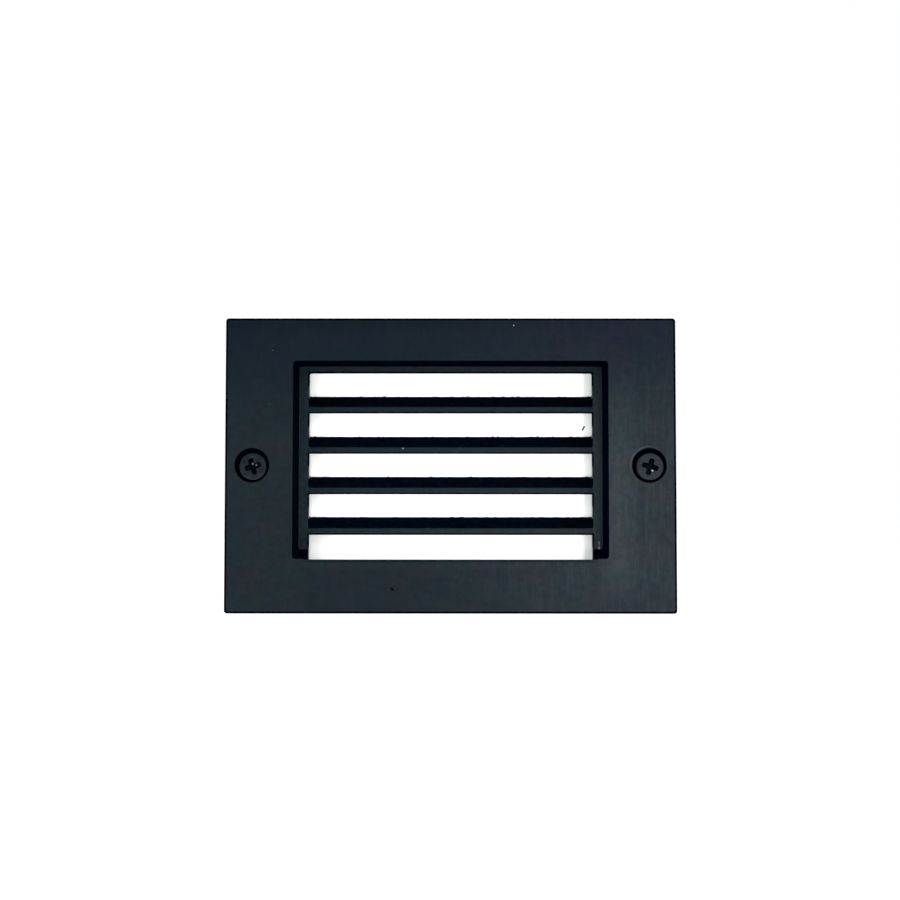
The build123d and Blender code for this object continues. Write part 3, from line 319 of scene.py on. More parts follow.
# Faceplate: black coat over the casting, brushed upright, with a painted sheen growing to the right, where
# the marks also lie denser
faceplateLook = lookOf(
    colour=(0.0122, 0.0206, 0.0232), secondColour=(0.0148, 0.0196, 0.0256), driftScale=110.0,
    driftContrast=0.16, grainScale=1300.0, coarseShare=0.8, grainStrength=0.42, grainDepth=0.000035,
    roughness=(0.33, 0.42), specular=0.0,
    edgeRadius=0.00034, edgeBreakup=260.0, edgeWear=0.0, edgeColour=(0.03, 0.04, 0.05),
    dust=0.02, dustScale=700.0, dustColour=(0.12, 0.13, 0.14))
faceplateMarks = {
    "shine": 0.4, "sideShine": 0.3,
    # name, tone, amount, and its fades: axis, from and to in mm, share at each
    # the darker top, top edge, bottom strip and upper right are painted shade; the paler right is a painted
    # sheen, and the strip beside the recess a painted highlight
    "layers": [
        ("upperShade", (0.0068, 0.0120, 0.0196), 0.85, [("Z", 4, 34, 0, 1)]),
        ("topEdgeShade", (0.0030, 0.0062, 0.0105), 0.33, [("Z", 34, 37.6, 0, 1)]),
        ("lowerShade", (0.0050, 0.0100, 0.0150), 0.28,
         [("Z", -25.5, -27.5, 0, 1), ("X", -41, -36, 0, 1), ("X", 36, 10, 0.35, 1)]),
        ("recess", (0.0128, 0.0236, 0.0312), 0.85, []),
        ("sheenAndDenserBrush", (0.0268, 0.0330, 0.0392), 0.52,
         [("X", -22, 46, 0.02, 1), ("Z", 36, 0, 0.3, 1), ("Z", -46, -25, 0.7, 1)]),
        ("highlightBesideRecess", (0.0465, 0.0550, 0.0612), 0.37, [("Z", 33, -4, 0, 1), ("Z", -37, -24.5, 0, 1)]),
        ("upperRightShade", (0.0130, 0.0145, 0.0275), 0.4,
         [("X", -22, 46, 0.02, 1), ("X", -22, 46, 0.02, 1), ("Z", 18, 30, 0, 1)]),
    ],
    # in mm: middle and half width of the strip beside the recess that gets a painted highlight
    "besideMiddle": 43.5, "besideHalf": 6.5,
    # slow shifts of hue: the two shares that the colour is multiplied by, scale
    "hues": [((0.96, 1.035, 0.98), (1.04, 0.97, 1.03), 190.0),
             ((0.93, 1.0, 1.03), (1.06, 1.01, 0.95), 120.0)],
    "hueContrast": 0.1,
    "skin": {"scale": 1500.0, "contrast": 0.12, "tone": (0.0290, 0.0390, 0.0450), "amount": 0.35},
    "mottle": {"scale": 640.0, "contrast": 0.14, "tone": (0.0050, 0.0100, 0.0150), "amount": 0.29},
    "specks": {"scale": 150.0, "size": 0.03, "share": 0.1, "tone": (0.2, 0.22, 0.22), "amount": 0.25},
    # brush marks, short and long: scale along each axis, levels of the noise, tone, amount
    "brush": [((1700.0, 300.0, 190.0), 0.46, 0.66, (0.044, 0.052, 0.058), 0.26),
              ((2600.0, 300.0, 24.0), 0.5, 0.7, (0.040, 0.048, 0.054), 0.12)],
    "brushLeast": 0.1, "brushMore": 0.86, "brushRoughness": 0.06,
    # painted highlight on the recess's rounded edges: tone and amount; then painted shade on the blade
    # fronts: tone, amount and its fade in mm
    "edgeHighlightTone": (0.040, 0.052, 0.058), "edgeHighlightAmount": 0.12, "bladeShadeTone": (0.0060, 0.0130, 0.0190),
    "bladeShadeAmount": 0.42, "bladeShadeFade": (-24.0, 4.0),
    # painted shade on what turns away from the front: plain, walls that face left or down, rounded edge,
    # outer sides
    "deepShadeTone": (0.0011, 0.0035, 0.0076), "blueShadeTone": (0.0006, 0.0028, 0.0100),
    "edgeShadeTone": (0.0003, 0.0010, 0.0022), "sideShadeTone": (0.0078, 0.0126, 0.0180),
    # how much a face looks forward where that painted shade starts and where it is full, the same for outer
    # sides, and how far it looks left or down where it is bluer
    "turnedLevels": (0.97, 0.86), "sideLevels": (0.3, 0.1), "blueFacing": {"X": -0.5, "Z": -0.8},
    "patchShare": (0.34, 0.38, 0.44), "patchScale": 800.0, "patchContrast": 0.16,
    # the lit part of a slot's end: tone, levels as shares of the pitch, depths in mm
    "litTone": (0.25, 0.27, 0.265), "litPhase": (0.22, 0.26, 0.5, 0.56), "litDepths": (1.5, 4.1),
    "litFacing": 0.8,
    # place on the front in mm, half size in mm, tone
    "spots": [((16.2, 36.75), 0.19, (0.30, 0.32, 0.33)), ((-12.9, 5.1), 0.17, (0.30, 0.32, 0.32)),
              ((-15.28, -31.65), 0.46, (0.0006, 0.0012, 0.002)), ((39.36, -21.4), 0.25, (0.34, 0.36, 0.36)),
              ((39.34, -21.0), 0.2, (0.18, 0.19, 0.19)), ((39.38, -20.6), 0.19, (0.14, 0.15, 0.15)),
              ((39.36, -20.2), 0.19, (0.15, 0.16, 0.16)), ((39.34, -19.85), 0.2, (0.2, 0.21, 0.21)),
              ((-47.1, 16.2), 0.1, (0.06, 0.07, 0.07))],
    "spotRagged": (0.55, 1.3), "raggedScale": 2600.0, "raggedLevels": (0.3, 0.7),
    # the rest in mm: plate's middle, half size, corners, rim of painted shade and its blur
    "plate": {"middle": (-0.2, 0.317), "half": (58.5, 38.287), "corner": 1.15, "rim": 0.56, "blur": 0.08},
    # counterbores, and the painted highlight arc over the right one
    "well": {"middle": (-0.2, 0.3), "fromMiddle": 51.5, "radius": 4.66, "arcRadius": 4.88, "arcHalf": 0.26,
             "arcFade": (2.0, 6.5), "arcHighlightTone": (0.085, 0.1, 0.105), "arcHighlightAmount": 0.35},
    # what lies deeper than this is in a counterbore, or in the recess
    "wellFrom": -8.4, "recessFrom": 1.0,
    # the louvre and its painted shade lines; a line that fades has two distances, from and to
    "louvre": {"middle": -0.2, "half": 38.0, "firstUnderside": 14.45, "firstBladeTop": 16.2, "pitch": 10.8,
               "frontsTop": 17.2, "endFrom": 36.5, "endTo": 39.0, "line": 0.44, "lineOver": 0.1,
               "sideShadeLine": (0.24, 0.16), "sidePhase": (0.62, 0.72), "lip": -24.58, "lipShadeLine": (0.195, 0.065),
               "lipShort": 0.5, "lipAmount": 0.6},
}


def fadeMasks(tree, position, fades):
    return [spread(tree, position[axis], start * mm, end * mm, low, high)
            for axis, start, end, low, high in fades]


def makeTurnedMasks(tree, position, facing):
    # masks for painted shade: what turns away from the front, the plate's rounded edge with what lies outside
    # it, its flat outer sides
    plate = faceplateMarks["plate"]
    level = mathNode(tree, "ABSOLUTE", facing["Y"])
    past = []
    for axis, middle, half in zip("XZ", plate["middle"], plate["half"]):
        off = offFrom(tree, position[axis], middle * mm)
        past.append(most(tree, mathNode(tree, "SUBTRACT", off, (half - plate["corner"]) * mm), 0.0))
    fromCorner = mathNode(tree, "SQRT", sumOfSquares(tree, *past))
    start = plate["corner"] - plate["rim"]
    outside = spread(tree, fromCorner, (start - plate["blur"]) * mm, (start + plate["blur"]) * mm)
    sides = times(tree, outside, spread(tree, level, *faceplateMarks["sideLevels"]))
    return spread(tree, level, *faceplateMarks["turnedLevels"]), outside, sides


def louvrePhase(tree, position, start):
    # 0 to 1 up each pitch of the louvre, from a height in mm
    pitch = faceplateMarks["louvre"]["pitch"]
    up = mathNode(tree, "SUBTRACT", position["Z"], (start - 10 * pitch) * mm)
    return mathNode(tree, "FRACT", mathNode(tree, "DIVIDE", up, pitch * mm))


def makeSlotShadeLines(tree, position, inRecess):
    # painted shade lines along the louvre's lower edges, down the upper part of each slot's ends and along
    # the lip; also where the blade fronts get painted shade
    louvre = faceplateMarks["louvre"]
    half, over = louvre["half"], louvre["lineOver"]
    phase = louvrePhase(tree, position, louvre["firstUnderside"])
    off = offFrom(tree, position["X"], louvre["middle"] * mm)
    lowest = within(tree, phase, louvre["line"] / louvre["pitch"])
    under = times(tree, lowest, below(tree, off, (half + over) * mm))
    sideFrom, sideTo = louvre["sideShadeLine"]
    beside = times(tree, spread(tree, off, (half + sideFrom) * mm, (half + sideTo) * mm),
                   above(tree, off, (half - over) * mm),
                   most(tree, spread(tree, phase, *louvre["sidePhase"]), lowest))
    lipFrom, lipTo = louvre["lipShadeLine"]
    fromLip = offFrom(tree, position["Z"], louvre["lip"] * mm)
    lip = times(tree, spread(tree, fromLip, lipFrom * mm, lipTo * mm),
                below(tree, off, (half - louvre["lipShort"]) * mm), louvre["lipAmount"])
    fadeFrom, fadeTo = faceplateMarks["bladeShadeFade"]
    shadedFronts = times(tree, below(tree, off, half * mm), inRecess,
                   spread(tree, position["Z"], fadeFrom * mm, fadeTo * mm),
                   below(tree, position["Z"], louvre["frontsTop"] * mm))
    return most(tree, times(tree, most(tree, under, beside), inRecess), lip), shadedFronts


def makeWellMasks(tree, position):
    # inside the two counterbores, painted dark as shade, and a painted highlight arc at the right one's upper
    # left
    well = faceplateMarks["well"]
    middleX, middleZ = well["middle"]
    across = mathNode(tree, "SUBTRACT", offFrom(tree, position["X"], middleX * mm), well["fromMiddle"] * mm)
    upward = mathNode(tree, "SUBTRACT", position["Z"], middleZ * mm)
    square = sumOfSquares(tree, across, upward)
    inside = times(tree, below(tree, square, (well["radius"] * mm) ** 2),
                   above(tree, position["Y"], faceplateMarks["wellFrom"] * mm))
    fromArc = offFrom(tree, mathNode(tree, "SQRT", square), well["arcRadius"] * mm)
    fadeFrom, fadeTo = well["arcFade"]
    upperLeft = spread(tree, mathNode(tree, "SUBTRACT", upward, across), fadeFrom * mm, fadeTo * mm)
    arc = times(tree, spread(tree, fromArc, well["arcHalf"] * mm, 0.0), upperLeft,
                above(tree, position["X"], 0.0))
    return inside, arc


def makeLitEnds(tree, position, facing):
    # the lower half of each slot's end wall catches the lens's light, more of it towards the lens
    marks, louvre = faceplateMarks, faceplateMarks["louvre"]
    phase = louvrePhase(tree, position, louvre["firstBladeTop"])
    low, lowFull, highFull, high = marks["litPhase"]
    out = mathNode(tree, "ABSOLUTE", position["X"])
    deep = spread(tree, position["Y"], *[depth * mm for depth in marks["litDepths"]])
    return times(tree, spread(tree, phase, low, lowFull), spread(tree, phase, high, highFull),
                 above(tree, mathNode(tree, "ABSOLUTE", facing["X"]), marks["litFacing"]),
                 above(tree, out, louvre["endFrom"] * mm), below(tree, out, louvre["endTo"] * mm), deep)


def makeCoatedCasting():
    marks = faceplateMarks
    material, tree, shader, parts = startFinish("coatedCasting", faceplateLook)
    position = axesOf(tree)
    facing = axesOf(tree, "Normal")
    inRecess = above(tree, position["Y"], marks["recessFrom"] * mm)
    fromBeside = offFrom(tree, position["X"], marks["besideMiddle"] * mm)
    limits = {"upperShade": mathNode(tree, "SUBTRACT", 1.0, inRecess), "recess": inRecess,
              "highlightBesideRecess": spread(tree, fromBeside, marks["besideHalf"] * mm, 0.0)}
    colour = parts["colour"]
    masks = {}
    # the layers lay painted shade and painted highlight over the plate, and the recess's own tone
    for name, tone, amount, fades in marks["layers"]:
        limit = [limits[name]] if name in limits else []
        masks[name] = times(tree, *fadeMasks(tree, position, fades), *limit)
        colour = layOver(tree, shader, colour, masks[name], tone, amount)
    for first, second, scale in marks["hues"]:
        hue = useGroup(tree, effects["drift"], {
            "First": opaque(first), "Second": opaque(second), "Scale": scale,
            "Contrast": marks["hueContrast"]})
        colour = mixColours(tree, 1.0, colour, hue["Colour"], "MULTIPLY")
    # the recess's floor is the bare cast skin under the coat, so it is rougher
    skin, mottle = marks["skin"], marks["mottle"]
    rougher = times(tree, driftMask(tree, skin["scale"], skin["contrast"]), inRecess)
    colour = layOver(tree, shader, colour, rougher, skin["tone"], skin["amount"])
    colour = layOver(tree, shader, colour, driftMask(tree, mottle["scale"], mottle["contrast"]),
                     mottle["tone"], mottle["amount"])
    # brush marks, strongest on the right between the recess and the plate's edge
    lined = times(tree, masks["sheenAndDenserBrush"], masks["sheenAndDenserBrush"], marks["brushMore"])
    lined = mathNode(tree, "ADD", lined, marks["brushLeast"])
    heights = []
    for scale, low, high, tone, amount in marks["brush"]:
        lines = useGroup(tree, effects["streaks"], {"Scale": scale, "Low": low, "High": high})
        colour = layOver(tree, shader, colour, times(tree, lines["Mask"], lined), tone, amount)
        heights.append(lines["Height"])
    colour = laySpecks(tree, shader, colour, marks["specks"])
    # painted highlight along the rounded edges in the recess
    worn = times(tree, parts["edges"], inRecess)
    colour = layOver(tree, shader, colour, worn, marks["edgeHighlightTone"], marks["edgeHighlightAmount"])
    shadedWell, arc = makeWellMasks(tree, position)
    # painted highlight arc at the right counterbore's upper left
    colour = layOver(tree, shader, colour, arc, marks["well"]["arcHighlightTone"], marks["well"]["arcHighlightAmount"])
    lines, shadedFronts = makeSlotShadeLines(tree, position, inRecess)
    # painted shade on the blade fronts
    colour = layOver(tree, shader, colour, shadedFronts, marks["bladeShadeTone"], marks["bladeShadeAmount"])
    # painted shade on what turns away from the front, on the rim, in the counterbores and along the slot
    # lines
    turned, outside, sides = makeTurnedMasks(tree, position, facing)
    paintedShade = most(tree, turned, outside, lines, shadedWell)
    shadeTone = mixColours(tree, outside, opaque(marks["deepShadeTone"]), opaque(marks["edgeShadeTone"]))
    bluer = most(tree, *[below(tree, facing[axis], limit) for axis, limit in marks["blueFacing"].items()])
    shadeTone = mixColours(tree, bluer, shadeTone, opaque(marks["blueShadeTone"]))
    shadeTone = mixColours(tree, sides, shadeTone, opaque(marks["sideShadeTone"]))
    patchy = driftMask(tree, marks["patchScale"], marks["patchContrast"])
    shadeTone = mixColours(tree, patchy, shadeTone, opaque(marks["patchShare"]), "MULTIPLY")
    shadeTone = mixColours(tree, makeLitEnds(tree, position, facing), shadeTone, opaque(marks["litTone"]))
    colour = mixColours(tree, paintedShade, colour, shadeTone)
    # single specks, chips and a stain
    ragged = noiseOf(tree, marks["raggedScale"], 2.0, 0.5)
    least, largest = marks["spotRagged"]
    for spot, size, tone in marks["spots"]:
        reach = spread(tree, ragged, *marks["raggedLevels"], size * mm * least, size * mm * largest)
        colour = layOver(tree, shader, colour, below(tree, fromSpot(tree, position, spot), reach), tone, 1.0)
    # the short brush marks roughen the coat too; faces that turn away from the front have no shine
    rough = mathNode(tree, "ADD", parts["rough"], times(tree, heights[0], marks["brushRoughness"]))
    feed(tree, shader.inputs["Roughness"], rough)
    shine = spread(tree, paintedShade, 0.0, 1.0, marks["shine"], 0.0)
    feed(tree, shader.inputs["Metallic"], most(tree, shine, times(tree, sides, marks["sideShine"])))
    return material


# Screws: black coat over steel, grainy, worn a little at the edges, with a painted highlight on the rim's
# lower half and painted shade down in the cross.
# The right one is painted paler, as highlight.
screwLook = lookOf(
    colour=(0.006, 0.0110, 0.0165), secondColour=(0.014, 0.0195, 0.0245), driftScale=900.0,
    driftContrast=0.12, grainScale=3000.0, coarseShare=0.8, grainStrength=0.5, grainDepth=0.00002,
    roughness=(0.34, 0.46), specular=0.06, edgeRadius=0.00012, edgeBreakup=1600.0, edgeWear=0.35,
    edgeColour=(0.10, 0.11, 0.12), dust=0.02)
screwMarks = {
    # in mm: from the light's axis to the screw's, the cross's reach, the depths that it lies between
    "fromAxis": 51.5, "crossReach": 2.4, "faceDepth": -8.28, "endDepth": -6.4,
    # painted shade down in the cross; its tone also darkens the dents
    "crossShadeAndDentTone": (0.0006, 0.0018, 0.0034), "crossShadeAmount": 0.95,
    # glints in the cross: place on the front in mm, half size in mm, tone
    "glints": [((-51.67, 0.72), 0.27, (0.17, 0.18, 0.19)), ((-50.75, 0.42), 0.25, (0.19, 0.2, 0.21)),
               ((52.08, -0.98), 0.26, (0.55, 0.56, 0.56))],
    "rightHighlightTone": (0.031, 0.038, 0.0465), "rightHighlightAmount": 0.58,
    "specks": {"scale": 2600.0, "size": 0.3, "share": 0.3, "tone": (0.052, 0.052, 0.062), "amount": 0.42},
    "dents": (3400.0, 0.1), "dentAmount": 0.24, "wornShine": 0.6,
    # painted highlight on the rim's lower half: radii and heights that it fades between in mm, and how the
    # dents break it up
    "rimHighlightTone": (0.075, 0.082, 0.092), "rimHighlightAmount": 0.4, "rimFrom": 3.0, "rimTo": 3.3, "rimFade": (0.5, -2.5),
    "rimDents": (1.0, 0.2, 0.4, 1.0),
}


def makeScrewCoat():
    marks = screwMarks
    material, tree, shader, parts = startFinish("screwCoat", screwLook)
    position = axesOf(tree)
    out = mathNode(tree, "ABSOLUTE", position["X"])
    across = mathNode(tree, "SUBTRACT", out, marks["fromAxis"] * mm)
    square = sumOfSquares(tree, across, position["Z"])
    notDeeper = below(tree, position["Y"], marks["endDepth"] * mm)
    inCross = times(tree, below(tree, square, (marks["crossReach"] * mm) ** 2),
                    above(tree, position["Y"], marks["faceDepth"] * mm), notDeeper)
    onRight = above(tree, position["X"], 0.0)
    # the right screw painted paler, as highlight
    colour = layOver(tree, shader, parts["colour"], onRight, marks["rightHighlightTone"], marks["rightHighlightAmount"])
    colour = laySpecks(tree, shader, colour, marks["specks"])
    dents = driftMask(tree, *marks["dents"])
    colour = layOver(tree, shader, colour, dents, marks["crossShadeAndDentTone"], marks["dentAmount"])
    # painted highlight on the lower half of the rim
    fadeFrom, fadeTo = marks["rimFade"]
    fromMiddle = mathNode(tree, "SQRT", square)
    rim = times(tree, spread(tree, fromMiddle, marks["rimFrom"] * mm, marks["rimTo"] * mm),
                spread(tree, position["Z"], fadeFrom * mm, fadeTo * mm),
                spread(tree, dents, *marks["rimDents"]))
    colour = layOver(tree, shader, colour, rim, marks["rimHighlightTone"], marks["rimHighlightAmount"])
    # painted shade down in the cross
    colour = layOver(tree, shader, colour, inCross, marks["crossShadeAndDentTone"], marks["crossShadeAmount"])
    shine = most(tree, times(tree, parts["worn"], marks["wornShine"]), inCross)
    for spot, size, tone in marks["glints"]:
        glint = times(tree, within(tree, fromSpot(tree, position, spot), size * mm), notDeeper)
        colour = layOver(tree, shader, colour, glint, tone, 1.0)
        shine = mathNode(tree, "SUBTRACT", shine, glint, clamp=True)
    feed(tree, shader.inputs["Metallic"], shine)
    return material


# Housing: the same coat, flatter and dusty, over a coarser cast skin
housingLook = lookOf(
    colour=(0.02, 0.022, 0.025), secondColour=(0.034, 0.036, 0.039), driftScale=45.0, driftContrast=0.2,
    grainScale=900.0, coarseShare=0.9, grainStrength=0.6, grainDepth=0.00009, roughness=(0.5, 0.68),
    specular=0.4, edgeRadius=0.00035, edgeBreakup=180.0, edgeWear=0.55, edgeColour=(0.1, 0.1, 0.105),
    dust=0.35, dustScale=420.0, dustColour=(0.2, 0.19, 0.17))
housingSpecks = {"scale": 420.0, "size": 0.12, "share": 0.16, "tone": (0.085, 0.083, 0.078), "amount": 0.45}


def makeHousingCoat():
    material, tree, shader, parts = startFinish("housingCoat", housingLook)
    laySpecks(tree, shader, parts["colour"], housingSpecks)
    return material


# Lens: opal glass, lit from behind, a little weaker at its ends
lensLook = lookOf(
    colour=(0.9, 0.9, 0.89), secondColour=(0.94, 0.94, 0.93), driftScale=70.0, grainScale=1200.0,
    grainStrength=0.12, grainDepth=0.00002, roughness=(0.3, 0.4), specular=0.4, edgeWear=0.0, dust=0.02,
    dustColour=(0.6, 0.6, 0.58))
lensGlow = {
    "strength": 0.78, "middle": (1.0, 1.0, 1.0), "end": (0.47, 0.50, 0.485),
    "cloud": {"First": (0.97, 0.97, 0.97, 1), "Second": (1, 1, 1, 1), "Scale": 35.0, "Contrast": 0.25},
    # where the glow weakens, in mm from and to: the left end, its outermost strip, the right end
    "ends": [(-30.0, -41.0), (-37.65, -38.0), (34.5, 36.6)],
    # painted shade towards the ends: colour and amount
    "endShadeColour": (0.45, 0.46, 0.44), "endShadeAmount": 0.6,
    # a hair on the glass: its two ends on the front in mm, and half its thickness
    "hair": ((36.0, 11.35), (35.3, 10.15)), "hairHalf": 0.25, "hairTone": (0.05, 0.045, 0.03),
}


def makeHairMask(tree, position):
    # within half the hair's thickness of the line between its ends
    (startX, startZ), (endX, endZ) = lensGlow["hair"]
    length = math.hypot(endX - startX, endZ - startZ)
    alongX, alongZ = (endX - startX) / length, (endZ - startZ) / length
    fromX = mathNode(tree, "SUBTRACT", position["X"], startX * mm)
    fromZ = mathNode(tree, "SUBTRACT", position["Z"], startZ * mm)
    along = mathNode(tree, "ADD", times(tree, fromX, alongX), times(tree, fromZ, alongZ))
    across = offFrom(tree, times(tree, fromX, alongZ), times(tree, fromZ, alongX))
    half = length * mm / 2
    return times(tree, below(tree, across, lensGlow["hairHalf"] * mm),
                 below(tree, offFrom(tree, along, half), half))


def makeOpalGlass():
    material, tree, shader, parts = startFinish("opalGlass", lensLook)
    position = axesOf(tree)
    outwards = most(tree, *[spread(tree, position["X"], start * mm, end * mm)
                            for start, end in lensGlow["ends"]])
    cloud = useGroup(tree, effects["drift"], lensGlow["cloud"])["Colour"]
    glow = mixColours(tree, outwards, opaque(lensGlow["middle"]), opaque(lensGlow["end"]))
    glow = mixColours(tree, 1.0, glow, cloud, "MULTIPLY")
    hair = makeHairMask(tree, position)
    feed(tree, shader.inputs["Emission Color"], mixColours(tree, hair, glow, (0, 0, 0, 1)))
    shader.inputs["Emission Strength"].default_value = lensGlow["strength"]
    # towards its ends the glass is painted greyer too, as shade from the rails
    colour = layOver(tree, shader, parts["colour"], outwards, lensGlow["endShadeColour"], lensGlow["endShadeAmount"])
    layOver(tree, shader, colour, hair, lensGlow["hairTone"], 1.0)
    return material


rubberLook = lookOf(
    colour=(0.012, 0.012, 0.013), secondColour=(0.022, 0.022, 0.023), driftScale=140.0, grainScale=2600.0,
    grainStrength=0.35, grainDepth=0.00003, roughness=(0.6, 0.8), specular=0.35, edgeWear=0.25,
    edgeColour=(0.05, 0.05, 0.052), dust=0.3, dustColour=(0.16, 0.155, 0.15))

stainlessLook = lookOf(
    colour=(0.5, 0.5, 0.49), secondColour=(0.6, 0.6, 0.59), driftScale=120.0, grainScale=2200.0,
    grainStrength=0.15, grainDepth=0.00001, roughness=(0.24, 0.38), metallic=1.0, edgeWear=0.3,
    edgeColour=(0.75, 0.75, 0.74), dust=0.05)
# rolled sheet: faint streaks that are paler and rougher
sheetStreaks = {
    "lines": {"Scale": (40.0, 3000.0, 3000.0), "Low": 0.35, "High": 0.7},
    "roughness": 0.14, "tone": (0.66, 0.66, 0.65), "amount": 0.35,
}


def makeStainless():
    material, tree, shader, parts = startFinish("stainless", stainlessLook)
    streaks = useGroup(tree, effects["streaks"], sheetStreaks["lines"])["Mask"]
    rough = mathNode(tree, "ADD", parts["rough"], times(tree, streaks, sheetStreaks["roughness"]))
    feed(tree, shader.inputs["Roughness"], rough)
    layOver(tree, shader, parts["colour"], streaks, sheetStreaks["tone"], sheetStreaks["amount"])
    return material


brassLook = lookOf(
    colour=(0.55, 0.36, 0.13), secondColour=(0.66, 0.46, 0.19), driftScale=260.0, driftContrast=0.25,
    grainScale=3200.0, grainStrength=0.2, grainDepth=0.00001, roughness=(0.22, 0.4), metallic=1.0,
    edgeWear=0.4, edgeColour=(0.8, 0.62, 0.32), dust=0.04)

trayLook = lookOf(
    colour=(0.8, 0.8, 0.78), secondColour=(0.86, 0.86, 0.845), driftScale=55.0, grainScale=1300.0,
    grainStrength=0.18, grainDepth=0.00003, roughness=(0.2, 0.34), specular=0.5, edgeRadius=0.0004,
    edgeWear=0.35, edgeColour=(0.6, 0.6, 0.58), dust=0.1, dustColour=(0.5, 0.48, 0.44))

zincLook = lookOf(
    colour=(0.55, 0.56, 0.56), secondColour=(0.66, 0.66, 0.64), driftScale=420.0, driftContrast=0.3,
    grainScale=2600.0, grainStrength=0.2, grainDepth=0.00001, roughness=(0.26, 0.44), metallic=1.0,
    edgeWear=0.35, edgeColour=(0.78, 0.77, 0.74), dust=0.06)

aluminiumLook = lookOf(
    colour=(0.66, 0.66, 0.67), secondColour=(0.74, 0.74, 0.74), driftScale=500.0, grainScale=3000.0,
    grainStrength=0.2, grainDepth=0.00001, roughness=(0.3, 0.46), metallic=1.0, edgeWear=0.3,
    edgeColour=(0.85, 0.85, 0.85), dust=0.05)

ceramicLook = lookOf(
    colour=(0.74, 0.71, 0.64), secondColour=(0.82, 0.79, 0.73), driftScale=200.0, grainScale=2400.0,
    coarseShare=0.7, grainStrength=0.4, grainDepth=0.00004, roughness=(0.55, 0.75), specular=0.4,
    edgeRadius=0.0003, edgeWear=0.3, edgeColour=(0.9, 0.88, 0.84), dust=0.08)
ceramicSpecks = {"scale": 1400.0, "size": 0.18, "share": 0.12, "tone": (0.42, 0.38, 0.32), "amount": 0.5}


def makeCeramic():
    material, tree, shader, parts = startFinish("unglazedCeramic", ceramicLook)
    laySpecks(tree, shader, parts["colour"], ceramicSpecks)
    return material


nickelLook = lookOf(
    colour=(0.62, 0.58, 0.52), secondColour=(0.7, 0.67, 0.61), driftScale=500.0, grainScale=3600.0,
    grainStrength=0.12, grainDepth=0.000006, roughness=(0.16, 0.3), metallic=1.0, edgeWear=0.2,
    edgeColour=(0.85, 0.83, 0.8), dust=0.03)

lampPlasticLook = lookOf(
    colour=(0.79, 0.79, 0.76), secondColour=(0.84, 0.84, 0.81), driftScale=160.0, grainScale=2600.0,
    grainStrength=0.25, grainDepth=0.00002, roughness=(0.38, 0.52), edgeWear=0.2, edgeColour=(0.9, 0.9, 0.88),
    dust=0.06)

terminalLook = lookOf(
    colour=(0.72, 0.7, 0.63), secondColour=(0.79, 0.77, 0.7), driftScale=180.0, grainScale=2200.0,
    grainStrength=0.3, grainDepth=0.00003, roughness=(0.4, 0.56), edgeWear=0.25, edgeColour=(0.86, 0.85, 0.8),
    dust=0.08)

nylonLook = lookOf(
    colour=(0.014, 0.0145, 0.0155), secondColour=(0.024, 0.0245, 0.026), driftScale=150.0, grainScale=2000.0,
    coarseShare=0.6, grainStrength=0.5, grainDepth=0.00004, roughness=(0.42, 0.6), specular=0.45,
    edgeWear=0.45, edgeColour=(0.07, 0.07, 0.072), dust=0.22, dustColour=(0.2, 0.19, 0.175))

boardLook = lookOf(
    colour=(0.74, 0.76, 0.72), secondColour=(0.8, 0.82, 0.78), driftScale=300.0, grainScale=3000.0,
    grainStrength=0.12, grainDepth=0.00001, roughness=(0.25, 0.4), edgeWear=0.3, edgeColour=(0.5, 0.46, 0.3),
    dust=0.04)

sleeveLook = lookOf(
    colour=(0.5, 0.48, 0.43), secondColour=(0.6, 0.58, 0.53), driftScale=250.0, grainScale=2800.0,
    grainStrength=0.3, grainDepth=0.00002, roughness=(0.6, 0.78), edgeWear=0.0, dust=0.1)
# braid: two sets of diagonal strands crossing round the lead
braid = {
    "turn": (0.7, 0.5, 0.78), "scale": 620.0, "distortion": 0.4, "strength": 0.7, "depth": 0.00008,
    # painted shade in the gaps between the strands: tone and amount
    "gapShadeTone": (0.3, 0.28, 0.25), "gapShadeAmount": 0.6,
}


def makeBraidedSleeve():
    material, tree, shader, parts = startFinish("braidedSleeve", sleeveLook)
    where = addNode(tree, "ShaderNodeTexCoord").outputs["Object"]
    heights = []
    for slant in (1.0, -1.0):
        turned = addNode(tree, "ShaderNodeMapping", None, {
            "Vector": where, "Rotation": tuple(angle * slant for angle in braid["turn"])})
        strands = addNode(tree, "ShaderNodeTexWave", {"wave_profile": "SIN"}, {
            "Vector": turned.outputs[0], "Scale": braid["scale"], "Distortion": braid["distortion"]})
        heights.append(strands.outputs["Fac"])
    woven = most(tree, *heights)
    relief = addNode(tree, "ShaderNodeBump", None, {
        "Strength": braid["strength"], "Distance": braid["depth"], "Height": woven, "Normal": parts["bump"]})
    feed(tree, shader.inputs["Normal"], relief.outputs[0])
    # painted shade in the gaps between the strands
    gaps = mathNode(tree, "SUBTRACT", 1.0, woven)
    layOver(tree, shader, parts["colour"], gaps, braid["gapShadeTone"], braid["gapShadeAmount"])
    return material


frostLook = lookOf(
    colour=(0.93, 0.93, 0.92), secondColour=(0.96, 0.96, 0.955), driftScale=160.0, grainScale=1800.0,
    grainStrength=0.2, grainDepth=0.00002, roughness=(0.28, 0.42), edgeWear=0.0, dust=0.02)
coverGlass = {"Transmission Weight": 0.85, "IOR": 1.5}


def makeFrostedGlass():
    material = plainFinish("frostedGlass", frostLook)
    for socket, value in coverGlass.items():
        material.node_tree.nodes["Principled BSDF"].inputs[socket].default_value = value
    return material


chipLook = lookOf(
    colour=(0.86, 0.62, 0.1), secondColour=(0.92, 0.72, 0.18), driftScale=900.0, grainScale=5000.0,
    grainStrength=0.15, grainDepth=0.00001, roughness=(0.2, 0.35), edgeRadius=0.0001, edgeWear=0.6,
    edgeColour=(0.85, 0.85, 0.82), dust=0.0)
chipGlow = 0.5


